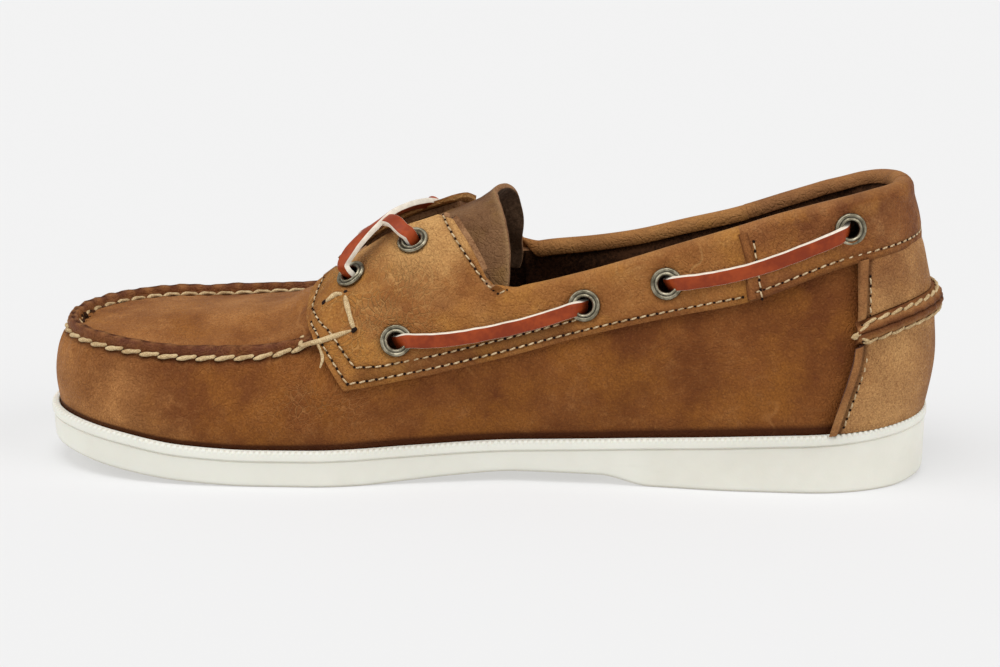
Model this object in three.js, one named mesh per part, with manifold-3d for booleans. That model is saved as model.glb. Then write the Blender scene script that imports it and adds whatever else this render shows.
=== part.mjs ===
// A right-foot boat shoe: hand-sewn moccasin upper, saddle with side lacing, white rubber sole.
// Millimetres, +Z up, +X towards the toe, +Y towards the inner (medial) side of the foot.
// Stations are measured forwards from the back of the sole; the whole shoe is then shifted
// so that the origin lies on the floor under the middle of the heel.
import * as THREE from "three";
import { mergeVertices } from "three/addons/utils/BufferGeometryUtils.js";
import Module from "manifold-3d";

const wasm = await Module();
wasm.setup();

// ---------------------------------------------------------------- driving sizes
const SOLE_LENGTH = 292;
const HEEL_CENTRE = 38; // from the back of the sole to the middle of the heel
const HEEL_ROUND = 41; // length of the rounded heel end of every outline
const TOE_ROUND = 78; // length of the rounded toe end of every outline
const HEEL_POWER = 2.05; // 2 is an ellipse, more is squarer
const TOE_POWER = 2.28;
const TOE_SHIFT = 8; // how far the toe's tip lies to the inner side of the heel's axis
const SHIFT_START = 162;

const GAP = 0.3; // clearance between pieces that touch
const LEATHER = 2.0; // wall of the upper
const OVERLAY = 1.8; // saddle and collar leather
const COUNTER = 1.5; // heel counter leather
const RIM_WIDTH = 2.5; // top of the sole's rim
const RIM_DEPTH = 3.2; // from the rim's top down to the footbed
const INSOLE = 3;
const FOOT_ROOM = RIM_WIDTH + GAP; // from the sole's outline in to the upper's outline

const STATIONS = 36; // sections from heel to toe
const WALL_STEPS = 7; // points up each wall
const TOP_STEPS = 5; // points from each shoulder to the crown
const BEYOND = 30; // how far a cutting solid reaches past the shoe

// ---------------------------------------------------------------- tables
// Sole outline: half widths on the inner and outer side of the heel's axis, before the ends are rounded.
const OUTLINE = [
  { x: 0, medial: 35.5, lateral: 35.5 },
  { x: 30, medial: 36.2, lateral: 36.2 },
  { x: 60, medial: 36.6, lateral: 37.2 },
  { x: 98, medial: 33.8, lateral: 39 },
  { x: 132, medial: 33, lateral: 42.5 },
  { x: 167, medial: 39.6, lateral: 48.5 },
  { x: 199, medial: 47, lateral: 53 },
  { x: 234, medial: 47.6, lateral: 54 },
  { x: 263, medial: 48.2, lateral: 54 },
  { x: 292, medial: 46, lateral: 50 },
];
// Sole heights: the tread and the top of the rim.
const SOLE = [
  { x: 0, tread: 1.2, rim: 22.4 },
  { x: 11, tread: 0, rim: 21.2 },
  { x: 30, tread: 0, rim: 19.8 },
  { x: 60, tread: 0, rim: 18.3 },
  { x: 89, tread: 0, rim: 16.4 },
  { x: 106, tread: 3.2, rim: 15.4 },
  { x: 132, tread: 3.4, rim: 14.2 },
  { x: 155, tread: 2.2, rim: 13.4 },
  { x: 186, tread: 0, rim: 12.4 },
  { x: 216, tread: 0, rim: 12.2 },
  { x: 240, tread: 1, rim: 13.2 },
  { x: 264, tread: 3.6, rim: 16.3 },
  { x: 292, tread: 7.8, rim: 19.5 },
];
// Sections of the last. Each side climbs from the feather line to a shoulder, then over to the crown.
// flare: degrees the wall starts outwards; lean: degrees it leans in at the shoulder;
// top: degrees above level at which the surface leaves the shoulder; tuck: shoulder in from the feather line;
// lift: how much higher the outer side's shoulder is; reach: share of the half width covered at the crown;
// ridge: height of the raised moccasin seam.
const LAST = [
  { x: 0, flare: 13, lean: 14, top: 72, shoulder: 75, lift: 0, tuck: 1.8, crown: 116, reach: 0.6, ridge: 0 },
  { x: 30, flare: 10, lean: 10, top: 78, shoulder: 74, lift: 0, tuck: 2.6, crown: 116, reach: 0.6, ridge: 0 },
  { x: 64, flare: 9, lean: 10, top: 79, shoulder: 70, lift: 0, tuck: 2.6, crown: 116, reach: 0.7, ridge: 0 },
  { x: 100, flare: 14, lean: 11, top: 78, shoulder: 62, lift: 0, tuck: 0.4, crown: 112, reach: 0.9, ridge: 0 },
  { x: 130, flare: 16, lean: 16, top: 72, shoulder: 56, lift: 0, tuck: -0.6, crown: 103, reach: 1, ridge: 0 },
  { x: 145, flare: 14, lean: 20, top: 67, shoulder: 56, lift: 0, tuck: 0.6, crown: 92, reach: 1, ridge: 0 },
  { x: 158, flare: 12, lean: 24, top: 64, shoulder: 57, lift: 0, tuck: 2, crown: 85.4, reach: 1, ridge: 0 },
  { x: 175, flare: 12, lean: 30, top: 60, shoulder: 55, lift: 0, tuck: 4.4, crown: 78.4, reach: 1, ridge: 0 },
  { x: 193, flare: 14, lean: 32, top: 50, shoulder: 48, lift: 1.4, tuck: 7, crown: 65.4, reach: 1, ridge: 0 },
  { x: 206, flare: 16, lean: 26, top: 30, shoulder: 43, lift: 2.8, tuck: 7, crown: 56, reach: 1, ridge: 3.2 },
  { x: 218, flare: 18, lean: 24, top: 16, shoulder: 40.8, lift: 3, tuck: 6.6, crown: 51, reach: 1, ridge: 3.6 },
  { x: 240, flare: 20, lean: 24, top: 12, shoulder: 40.2, lift: 2.6, tuck: 6.2, crown: 49, reach: 1, ridge: 3.8 },
  { x: 264, flare: 20, lean: 26, top: 12, shoulder: 41.6, lift: 1.8, tuck: 5.4, crown: 48.6, reach: 1, ridge: 3.8 },
  { x: 292, flare: 8, lean: 30, top: 10, shoulder: 43.8, lift: 0, tuck: 3, crown: 47.6, reach: 1, ridge: 3.8 },
];
// Collar line seen from the side, heel to saddle, on the inner and the outer side.
const TOPLINE = [
  { x: -BEYOND, medial: 98.8, lateral: 98.8 },
  { x: 4, medial: 98.8, lateral: 98.8 },
  { x: 15, medial: 98.2, lateral: 97 },
  { x: 29, medial: 95.8, lateral: 92.8 },
  { x: 46, medial: 91.4, lateral: 87.2 },
  { x: 64, medial: 85.5, lateral: 81 },
  { x: 80, medial: 80.3, lateral: 76.7 },
  { x: 99, medial: 74, lateral: 71.5 },
  { x: 113, medial: 69.8, lateral: 69 },
  { x: 126, medial: 66.4, lateral: 67.4 },
  { x: 136, medial: 64.6, lateral: 66 },
  { x: 141, medial: 64.6, lateral: 66 },
];
// Rear edge of the saddle, from the collar line up to the throat.
const SADDLE_BACK = [
  { x: 143, z: 66.5 },
  { x: 149, z: 76 },
  { x: 155, z: 82.5 },
  { x: 161, z: 88.5 },
  { x: 168, z: 97 },
];
// Lower edge of the saddle and collar band, seen from the side.
const BAND_EDGE = [
  { x: -BEYOND, z: 78.4 },
  { x: 4, z: 78.4 },
  { x: 26, z: 74.6 },
  { x: 58, z: 62.6 },
  { x: 82, z: 57 },
  { x: 108, z: 50.6 },
  { x: 140, z: 41.6 },
  { x: 172, z: 35 },
  { x: 187.6, z: 32.2 },
];
const BAND_SEAM = { lowX: 54, highX: 62, low: 50, high: 96 }; // where the rear collar overlaps
const COLLAR_PAD = { frontX: 118, drop: 20, thick: 3.2 };
const SADDLE_FRONT = [
  { x: 187.6, z: 32.2 },
  { x: 195, z: 42.6 },
  { x: 201.2, z: 51.4 },
  { x: 201.4, z: 57 },
  { x: 200.5, z: 64 },
];
const THROAT = [
  { x: 150, half: 10.5 },
  { x: 165, half: 11.5 },
  { x: 185, half: 12.5 },
  { x: 199, half: 10 },
];
const COUNTER_FRONT = [
  { x: 34, z: 15 },
  { x: 29.5, z: 30 },
  { x: 25.5, z: 45 },
  { x: 24.5, z: 58 },
  { x: 24, z: 76 },
];
// The kicker is the raised hand-sewn seam round the heel: where its middle runs on the last.
const KICKER = { frontX: 25, frontZ: 52.5, backZ: 58.5, halfHeight: 4.4, stand: 4.6, turns: 22 };
const KICKER_HALF_SLOT = 4.9; // half the space that the two counter pieces leave for it
const TONGUE = { half: 26, frontX: 203, leather: 1.8 };
const TONGUE_END = [
  { x: 134.5, z: 58 },
  { x: 137.5, z: 80 },
  { x: 145, z: 97 },
];
const EYELET = { hole: 2.8, barrel: 3.6, flange: 5.5, rise: 1.1, lift: 0.3, sides: 12 };
const BAND_EYELETS = [
  { name: "front", x: 171.2, z: 47.6 },
  { name: "middle_front", x: 110.9, z: 59.4 },
  { name: "middle_rear", x: 84.5, z: 67.2 },
  { name: "rear", x: 27.4, z: 85.8 },
];
const THROAT_EYELETS = [
  { name: "throat_lower", x: 187, z: 64.6 },
  { name: "throat_upper", x: 167.6, z: 75.6 },
];
const LACE = { width: 4.4, thick: 2, sag: 3.6 };

// ---------------------------------------------------------------- curves
// A smooth curve through one column of a table, without overshoot.
function track(rows, key) {
  const xs = rows.map((row) => row.x);
  const ys = rows.map((row) => row[key]);
  const last = xs.length - 1;
  const step = (i) => (ys[i + 1] - ys[i]) / (xs[i + 1] - xs[i]);
  const slope = xs.map((_, i) => {
    if (i === 0) return step(0);
    if (i === last) return step(last - 1);
    const before = step(i - 1);
    const after = step(i);
    return before * after > 0 ? (2 * before * after) / (before + after) : 0;
  });
  return (x) => {
    if (x <= xs[0]) return ys[0];
    if (x >= xs[last]) return ys[last];
    let i = 0;
    while (x > xs[i + 1]) i += 1;
    const h = xs[i + 1] - xs[i];
    const s = (x - xs[i]) / h;
    const s2 = s * s;
    const s3 = s2 * s;
    return (
      ys[i] * (2 * s3 - 3 * s2 + 1) +
      ys[i + 1] * (3 * s2 - 2 * s3) +
      h * (slope[i] * (s3 - 2 * s2 + s) + slope[i + 1] * (s3 - s2))
    );
  };
}

const half = { medial: track(OUTLINE, "medial"), lateral: track(OUTLINE, "lateral") };
const treadZ = track(SOLE, "tread");
const rimZ = track(SOLE, "rim");
const lastColumns = Object.keys(LAST[0]).filter((key) => key !== "x");
const lastTracks = Object.fromEntries(lastColumns.map((key) => [key, track(LAST, key)]));

const axisY = (x) => TOE_SHIFT * (Math.max(0, x - SHIFT_START) / (SOLE_LENGTH - SHIFT_START)) ** 2;
const heelTurn = (x) => THREE.MathUtils.clamp(1 - x / HEEL_ROUND, 0, 1);
const toeTurn = (x) => THREE.MathUtils.clamp((x - SOLE_LENGTH + TOE_ROUND) / TOE_ROUND, 0, 1);
const roundEnd = (q, power) => (1 - q ** power) ** (1 / power);
const ends = (x) => roundEnd(heelTurn(x), HEEL_POWER) * roundEnd(toeTurn(x), TOE_POWER);
const stationX = (i) => (SOLE_LENGTH * (1 - Math.cos((Math.PI * i) / STATIONS))) / 2;

// A point of an outline that lies `inset` inside the sole's own, at station x.
function outlinePoint(x, side, inset, z) {
  const w = (half[side](x) - inset) * ends(x);
  const along = x + inset * (heelTurn(x) ** 2 - toeTurn(x) ** 2);
  return new THREE.Vector3(along, axisY(x) + (side === "medial" ? w : -w), z);
}

const bezier = (a, b, c, d, t) =>
  a * (1 - t) ** 3 + 3 * b * t * (1 - t) ** 2 + 3 * c * t * t * (1 - t) + d * t ** 3;

// ---------------------------------------------------------------- the last
const HANDLE = 0.4; // Bezier handle as a share of the chord
const SKIRT = 4; // how far the last reaches below the footbed, to be cut off square
const RIDGE_STEPS = [
  { inward: 1.3, share: 1 },
  { inward: 3, share: 1 },
  { inward: 4.4, share: 0.3 },
];

const sectionAt = (x) => Object.fromEntries(lastColumns.map((key) => [key, lastTracks[key](x)]));

// Points of one side's profile, from below the feather line to the crown.
function profile(x, side) {
  const row = sectionAt(x);
  const feather = rimZ(x) + GAP;
  const width = half[side](x) - FOOT_ROOM;
  const shoulder = row.shoulder + (side === "lateral" ? row.lift : 0);
  const rise = shoulder - feather;
  const flare = THREE.MathUtils.degToRad(row.flare);
  const lean = THREE.MathUtils.degToRad(row.lean);
  const top = THREE.MathUtils.degToRad(row.top);
  const arm = HANDLE * rise;
  const points = [{ inward: 0, z: feather - RIM_DEPTH - SKIRT }];
  for (let i = 0; i <= WALL_STEPS; i += 1) {
    const t = i / WALL_STEPS;
    points.push({
      inward: bezier(0, -Math.sin(flare) * arm, row.tuck - Math.sin(lean) * arm, row.tuck, t),
      z: bezier(feather, feather + Math.cos(flare) * arm, shoulder - Math.cos(lean) * arm, shoulder, t),
    });
  }
  // Over the raised seam where there is one, or straight on where there isn't.
  const raised = Math.min(1, row.ridge / 3);
  for (const { inward, share } of RIDGE_STEPS) {
    const across = inward * THREE.MathUtils.lerp(Math.cos(top), 1, raised);
    const climb = inward * Math.sin(top) * (1 - raised);
    points.push({ inward: row.tuck + across, z: shoulder + climb + row.ridge * share });
  }
  const { inward: startIn, z: startZ } = points.at(-1);
  const endIn = width * row.reach;
  const chord = HANDLE * Math.hypot(endIn - startIn, row.crown - startZ);
  for (let i = 1; i <= TOP_STEPS; i += 1) {
    const t = i / TOP_STEPS;
    points.push({
      inward: bezier(startIn, startIn + Math.cos(top) * chord, endIn - chord, endIn, t),
      z: bezier(startZ, startZ + Math.sin(top) * chord, row.crown, row.crown, t),
    });
  }
  return points;
}

const heelProfile = profile(0, "medial");
const toeProfile = profile(SOLE_LENGTH, "medial");
const shoulderIndex = WALL_STEPS + 1 + RIDGE_STEPS.length;

// Point j of the profile at station x, in space.
function lastPoint(x, side, j, points) {
  const { inward, z } = points[j];
  const width = half[side](x) - FOOT_ROOM;
  const round = ends(x);
  const toeIn = toeProfile[Math.min(j, shoulderIndex)].inward;
  const along =
    x + (FOOT_ROOM + heelProfile[j].inward) * heelTurn(x) ** 2 - (FOOT_ROOM + toeIn) * toeTurn(x) ** 2;
  const y = (width - inward) * round;
  const bed = points[Math.min(j, shoulderIndex)].z;
  const settle = x > SOLE_LENGTH / 2 ? round : 1; // the plug comes down to its seam at the toe
  return new THREE.Vector3(along, axisY(x) + (side === "medial" ? y : -y), bed + (z - bed) * settle);
}

// Rows of points, one row per station, from the inner feather line over the crown to the outer one.
function lastRows() {
  const rows = [];
  for (let i = 0; i <= STATIONS; i += 1) {
    const x = stationX(i);
    const sides = ["medial", "lateral"].map((side) => {
      const points = profile(x, side);
      return points.map((_, j) => lastPoint(x, side, j, points));
    });
    const lateral = sides[1].reverse();
    rows.push([...sides[0], ...lateral]);
  }
  return rows;
}

// ---------------------------------------------------------------- solids
// Triangles between neighbouring rows of points. Closed rows join their last point to their first.
function skin(rows, closed) {
  const n = rows[0].length;
  const index = [];
  for (let i = 0; i + 1 < rows.length; i += 1) {
    for (let j = 0; j < (closed ? n : n - 1); j += 1) {
      const a = i * n + j;
      const b = i * n + ((j + 1) % n);
      index.push(a, b, a + n, b, b + n, a + n);
    }
  }
  const geometry = new THREE.BufferGeometry().setFromPoints(rows.flat());
  geometry.setIndex(index);
  return geometry;
}

// Merged vertices, with the triangles that collapsed left out.
function merged(geometry) {
  const plain = geometry.clone();
  plain.deleteAttribute("normal");
  plain.deleteAttribute("uv");
  const joined = mergeVertices(plain, 1e-4);
  const old = joined.index.array;
  const kept = [];
  for (let i = 0; i < old.length; i += 3) {
    const [a, b, c] = [old[i], old[i + 1], old[i + 2]];
    if (a !== b && b !== c && c !== a) kept.push(a, b, c);
  }
  joined.setIndex(kept);
  return joined;
}

// A closed solid, turned so that its faces look outwards whichever way its rows ran.
function solid(geometry) {
  const mesh = merged(geometry);
  const vertProperties = new Float32Array(mesh.attributes.position.array);
  const made = (order) => {
    const triVerts = new Uint32Array(order);
    return new wasm.Manifold(new wasm.Mesh({ numProp: 3, vertProperties, triVerts }));
  };
  const order = [...mesh.index.array];
  const body = made(order);
  return body.volume() < 0 ? made(order.reverse()) : body;
}

function geometryOf(manifold) {
  const mesh = manifold.getMesh();
  const points = new Float32Array(mesh.numVert * 3);
  for (let i = 0; i < mesh.numVert; i += 1) {
    points.set(mesh.vertProperties.subarray(i * mesh.numProp, i * mesh.numProp + 3), i * 3);
  }
  const geometry = new THREE.BufferGeometry();
  geometry.setAttribute("position", new THREE.BufferAttribute(points, 3));
  geometry.setIndex(new THREE.BufferAttribute(new Uint32Array(mesh.triVerts), 1));
  geometry.computeVertexNormals();
  return geometry;
}

// Normals of the last, the same for every offset form.
const baseRows = lastRows();
const baseNormals = (() => {
  const open = skin(baseRows, false);
  const flat = merged(open);
  flat.computeVertexNormals();
  const seen = new Map();
  const key = (v) => [v.x, v.y, v.z].map((c) => Math.fround(c).toFixed(3)).join();
  const point = new THREE.Vector3();
  for (let i = 0; i < flat.attributes.position.count; i += 1) {
    point.fromBufferAttribute(flat.attributes.position, i);
    seen.set(key(point), new THREE.Vector3().fromBufferAttribute(flat.attributes.normal, i));
  }
  return baseRows.map((row) => row.map((p) => seen.get(key(p)) ?? new THREE.Vector3(0, 0, 1)));
})();

// The last grown (or, below zero, shrunk) along its normals, as a closed solid.
function form(offset) {
  const rows = baseRows.map((row, i) =>
    row.map((p, j) => {
      const moved = p.clone().addScaledVector(baseNormals[i][j], offset);
      if (j === 0 || j === row.length - 1) moved.z = p.z;
      return moved;
    }),
  );
  return solid(skin(rows, true));
}

// A prism across the shoe from an outline seen from the side, between two Y planes.
function sidePrism(points, fromY, toY) {
  const shape = new THREE.Shape(points.map(({ x, z }) => new THREE.Vector2(x, z)));
  const geometry = new THREE.ExtrudeGeometry(shape, { depth: toY - fromY, bevelEnabled: false });
  geometry.rotateX(Math.PI / 2);
  geometry.translate(0, toY, 0);
  return solid(geometry);
}

// A prism up the shoe from an outline seen from above.
function planPrism(points, fromZ, toZ) {
  const shape = new THREE.Shape(points.map(({ x, y }) => new THREE.Vector2(x, y)));
  const geometry = new THREE.ExtrudeGeometry(shape, { depth: toZ - fromZ, bevelEnabled: false });
  geometry.translate(0, 0, fromZ);
  return solid(geometry);
}

// Everything below a height that changes along the shoe.
function below(height) {
  const rows = [];
  for (let i = 0; i <= STATIONS; i += 1) {
    const x = stationX(i);
    const wide = x + (i === 0 ? -BEYOND : 0) + (i === STATIONS ? BEYOND : 0);
    const [y, z] = [2 * BEYOND + 20, height(x)];
    rows.push([
      new THREE.Vector3(wide, y, -BEYOND),
      new THREE.Vector3(wide, y, z),
      new THREE.Vector3(wide, -y, z),
      new THREE.Vector3(wide, -y, -BEYOND),
    ]);
  }
  return solid(cappedSkin(rows));
}

// A closed tube of sections with flat ends.
function cappedSkin(rows) {
  const geometry = skin(rows, true);
  const n = rows[0].length;
  const index = [...geometry.index.array];
  const end = (rows.length - 1) * n;
  for (let j = 1; j + 1 < n; j += 1) {
    index.push(0, j + 1, j);
    index.push(end, end + j, end + j + 1);
  }
  geometry.setIndex(index);
  return geometry;
}

// ---------------------------------------------------------------- cutting tools
const WIDE = 80;
const HIGH = 130;
const topline = { medial: track(TOPLINE, "medial"), lateral: track(TOPLINE, "lateral") };
const bandEdge = track(BAND_EDGE, "z");

// Everything above the collar line on one side.
function collarCutter(side, grow) {
  const points = [];
  for (let x = -BEYOND; x <= TOPLINE.at(-1).x; x += 5.7) {
    points.push({ x, z: topline[side](x) - grow });
  }
  for (const { x, z } of SADDLE_BACK) points.push({ x: x + grow, z });
  points.push({ x: SADDLE_BACK.at(-1).x + grow, z: HIGH }, { x: -BEYOND, z: HIGH });
  return side === "medial" ? sidePrism(points, 0, WIDE) : sidePrism(points, -WIDE, 0);
}

const openCollar = (piece, grow = 0) =>
  piece.subtract(collarCutter("medial", grow)).subtract(collarCutter("lateral", grow));

const throatSlot = (() => {
  const halfAt = track(THROAT, "half");
  const stations = [146, 155, 165, 175, 185, 193, 198];
  const far = stations.map((x) => ({ x, y: axisY(x) - halfAt(x) }));
  const tip = { x: 203, y: axisY(203) };
  const near = stations.map((x) => ({ x, y: axisY(x) + halfAt(x) })).reverse();
  return planPrism([...far, tip, ...near], 40, HIGH);
})();

const footbedCutter = below((x) => rimZ(x) - RIM_DEPTH + GAP);
const rimCutter = below((x) => rimZ(x) + GAP);

// ---------------------------------------------------------------- places on the surface
// The point of the last at height z (or half width y) on one side, grown by `offset`, and its normal.
function onLast(x, z, side, offset) {
  const at = (station, t) => {
    const points = profile(station, side);
    const j = Math.min(Math.floor(t), points.length - 2);
    const a = lastPoint(station, side, j, points);
    return a.lerp(lastPoint(station, side, j + 1, points), t - j);
  };
  const solve = (wantX, wantZ) => {
    let station = wantX;
    let t = 0;
    for (let pass = 0; pass < 12; pass += 1) {
      let low = 1;
      let high = heelProfile.length - 1.001;
      for (let i = 0; i < 30; i += 1) {
        t = (low + high) / 2;
        if (at(station, t).z < wantZ) low = t;
        else high = t;
      }
      station += wantX - at(station, t).x;
    }
    return { station, t };
  };
  const { station, t } = solve(x, z);
  const point = at(station, t);
  const along = at(station + 1.5, t).sub(at(station - 1.5, t));
  const up = at(station, t + 0.25).sub(at(station, t - 0.25));
  const normal = side === "medial" ? up.cross(along) : along.cross(up);
  normal.normalize();
  if (normal.dot(new THREE.Vector3(0, side === "medial" ? 1 : -1, 0.2)) < 0) normal.negate();
  return { point: point.addScaledVector(normal, offset), normal };
}

// ---------------------------------------------------------------- pieces
const material = (color, roughness, metalness = 0) =>
  new THREE.MeshStandardMaterial({ color, roughness, metalness });
const leather = material(0x8a5a34, 0.7);
const darkLeather = material(0x7a4c2e, 0.7);
const suede = material(0x5a3822, 0.9);
const rubber = material(0xe6e3d8, 0.55);
const lining = material(0xa98862, 0.85);
const metal = material(0x8d8a78, 0.35, 0.9);
const lacing = material(0x8e3d26, 0.5);

function outsole() {
  // Rings from the middle of the tread out, up the side and into the footbed.
  const grooveDrop = 3.4;
  const rings = [
    { inset: 4.5, z: (x) => treadZ(x) },
    { inset: 1.6, z: (x) => treadZ(x) + 1.2 * Math.min(1, treadZ(x)) },
    { inset: 0.9, z: (x) => treadZ(x) + 2.2 },
    { inset: 0.5, z: (x) => rimZ(x) - grooveDrop - 0.5 },
    { inset: 1.1, z: (x) => rimZ(x) - grooveDrop },
    { inset: 0.1, z: (x) => rimZ(x) - grooveDrop + 0.5 },
    { inset: 0, z: (x) => rimZ(x) - 0.4 },
    { inset: 0.5, z: (x) => rimZ(x) },
    { inset: RIM_WIDTH, z: (x) => rimZ(x) },
    { inset: RIM_WIDTH, z: (x) => rimZ(x) - RIM_DEPTH },
  ];
  const rows = [];
  for (let i = 0; i <= STATIONS; i += 1) {
    const x = stationX(i);
    const up = rings.map(({ inset, z }) => outlinePoint(x, "medial", inset, z(x)));
    const down = rings.map(({ inset, z }) => outlinePoint(x, "lateral", inset, z(x))).reverse();
    rows.push([...up, ...down]);
  }
  return solid(skin(rows, true));
}

function insole() {
  const inset = FOOT_ROOM + LEATHER + 3 * GAP;
  const rows = [];
  for (let i = 0; i <= STATIONS; i += 1) {
    const x = stationX(i);
    const low = rimZ(x) - RIM_DEPTH + GAP;
    rows.push([
      outlinePoint(x, "medial", inset, low),
      outlinePoint(x, "medial", inset, low + INSOLE),
      outlinePoint(x, "lateral", inset, low + INSOLE),
      outlinePoint(x, "lateral", inset, low),
    ]);
  }
  return solid(skin(rows, true));
}

const shellBetween = (inner, outer) => form(outer).subtract(form(inner));

function saddleRegion(side) {
  const points = [];
  const { lowX, highX, low, high } = BAND_SEAM;
  const seamX = (z) => lowX + ((highX - lowX) * (z - low)) / (high - low) + GAP;
  for (const { x, z } of SADDLE_FRONT) points.push({ x, z });
  points.push({ x: 200.5, z: HIGH }, { x: seamX(high), z: HIGH });
  points.push({ x: seamX(high), z: high }, { x: seamX(bandEdge(lowX)), z: bandEdge(lowX) });
  for (let x = 66; x < 185; x += 12.4) points.push({ x, z: bandEdge(x) });
  return side === "medial" ? sidePrism(points, 0, WIDE) : sidePrism(points, -WIDE, 0);
}

function collarRegion() {
  const { lowX, highX, low, high } = BAND_SEAM;
  const seamX = (z) => lowX + ((highX - lowX) * (z - low)) / (high - low);
  const points = [{ x: -BEYOND, z: bandEdge(-BEYOND) }];
  for (let x = 4; x < lowX; x += 9) points.push({ x, z: bandEdge(x) });
  points.push({ x: seamX(bandEdge(lowX)), z: bandEdge(lowX) }, { x: seamX(high), z: high });
  points.push({ x: seamX(high), z: HIGH }, { x: -BEYOND, z: HIGH });
  return sidePrism(points, -WIDE, WIDE);
}

// The padded lining inside the collar, from the saddle round the heel.
function collarLining() {
  const { frontX, drop, thick } = COLLAR_PAD;
  const points = [{ x: -BEYOND, z: topline.medial(-BEYOND) - drop }];
  for (let x = 4; x < frontX; x += 11) points.push({ x, z: topline.medial(x) - drop });
  points.push({ x: frontX, z: topline.medial(frontX) - drop / 2 });
  points.push({ x: frontX, z: HIGH }, { x: -BEYOND, z: HIGH });
  const shell = shellBetween(-LEATHER - GAP - thick, -LEATHER - GAP);
  return punched(openCollar(shell.intersect(sidePrism(points, -WIDE, WIDE))));
}

// Height of the kicker's middle at station x: highest at the back.
const kickerZ = (x) => {
  const share = THREE.MathUtils.clamp(x / KICKER.frontX, 0, 1);
  return KICKER.backZ + (KICKER.frontZ - KICKER.backZ) * share ** 1.5;
};
const counterFront = (() => {
  const byHeight = COUNTER_FRONT.map(({ x, z }) => ({ x: z, at: x }));
  return track(byHeight, "at");
})();

function counterRegion(part) {
  const points = [];
  const stations = [-BEYOND, 0, 6, 12, 18, 24];
  const front = [];
  if (part === "lower") {
    const top = kickerZ(KICKER.frontX) - KICKER_HALF_SLOT;
    for (let z = 12; z < top; z += 6) front.push({ x: counterFront(z), z });
    points.push({ x: -BEYOND, z: 12 }, ...front, { x: counterFront(top), z: top });
    for (const x of [...stations].reverse()) points.push({ x, z: kickerZ(x) - KICKER_HALF_SLOT });
  } else {
    const low = kickerZ(KICKER.frontX) + KICKER_HALF_SLOT;
    for (const x of stations) points.push({ x, z: kickerZ(x) + KICKER_HALF_SLOT });
    points.push({ x: counterFront(low), z: low }, { x: counterFront(74), z: bandEdge(25.5) - GAP });
    for (const x of [...stations].reverse()) points.push({ x, z: bandEdge(x) - GAP });
  }
  return sidePrism(points, -WIDE, WIDE);
}

// The kicker: a rounded ridge swept round the heel, just clear of the upper.
function kicker() {
  const rows = [];
  const section = [
    { up: -1, out: 0 },
    { up: -0.62, out: 0.52 },
    { up: -0.16, out: 0.94 },
    { up: 0.2, out: 1 },
    { up: 0.52, out: 0.72 },
    { up: 1, out: 0 },
  ];
  const place = (turn) => {
    const side = turn < 0 ? "medial" : "lateral";
    const x = KICKER.frontX * (1 - Math.cos((turn * Math.PI) / 2)) + 0.35;
    return { side, x: x + heelBack(kickerZ(x)), z: kickerZ(x) };
  };
  for (let i = 0; i <= KICKER.turns; i += 1) {
    const { side, x, z } = place((2 * i) / KICKER.turns - 1);
    const taper = Math.min(1, 0.75 + 0.15 * Math.min(i, KICKER.turns - i));
    rows.push(
      section.map(({ up, out }) => {
        const height = z + up * KICKER.halfHeight * taper;
        return onLast(x, height, side, GAP + 0.35 + out * KICKER.stand * taper).point;
      }),
    );
  }
  return solid(cappedSkin(rows));
}

// The last's rearmost station at a height.
function heelBack(z) {
  let best = Infinity;
  for (let j = 0; j < heelProfile.length; j += 1) {
    if (Math.abs(heelProfile[j].z - z) < 8) best = Math.min(best, FOOT_ROOM + heelProfile[j].inward);
  }
  return best;
}

function tongue() {
  const { frontX, leather: thick } = TONGUE;
  const corners = [{ x: frontX, z: 30 }, { x: frontX, z: HIGH }, { x: TONGUE_END.at(-1).x, z: HIGH }];
  const strap = sidePrism([TONGUE_END[0], ...corners, ...[...TONGUE_END].reverse().slice(0, -1)], -WIDE, WIDE);
  const arch = shellBetween(-LEATHER - GAP - thick, -LEATHER - GAP);
  const kept = arch.intersect(strap).intersect(planPrism(
    [
      { x: 120, y: -TONGUE.half },
      { x: 170, y: -TONGUE.half + 2 },
      { x: frontX, y: -15 },
      { x: frontX, y: 20 },
      { x: 170, y: TONGUE.half - 2 },
      { x: 120, y: TONGUE.half },
    ],
    50,
    HIGH,
  ));
  return kept;
}

// An eyelet: a domed ring outside and a barrel through both layers of leather.
function eyeletGeometry() {
  const { hole, barrel, flange, rise, lift, sides } = EYELET;
  const depth = OVERLAY + GAP + LEATHER;
  const profilePoints = [
    [hole, lift + rise * 0.5],
    [(hole + flange) / 2, lift + rise],
    [flange, lift + rise * 0.3],
    [flange, lift],
    [barrel, lift],
    [barrel, -depth],
    [hole, -depth],
    [hole, lift + rise * 0.5],
  ].map(([r, h]) => new THREE.Vector2(r, h));
  const ring = new THREE.LatheGeometry(profilePoints.reverse(), sides);
  ring.rotateX(Math.PI / 2);
  return ring;
}

const eyelets = [];
for (const side of ["medial", "lateral"]) {
  for (const { name, x, z } of BAND_EYELETS) {
    eyelets.push({ name: `eyelet_${side}_${name}`, side, ...onLast(x, z, side, GAP + OVERLAY) });
  }
  for (const { name, x, z } of THROAT_EYELETS) {
    eyelets.push({ name: `eyelet_${side}_${name}`, side, ...onLast(x, z, side, GAP + OVERLAY) });
  }
}

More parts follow.
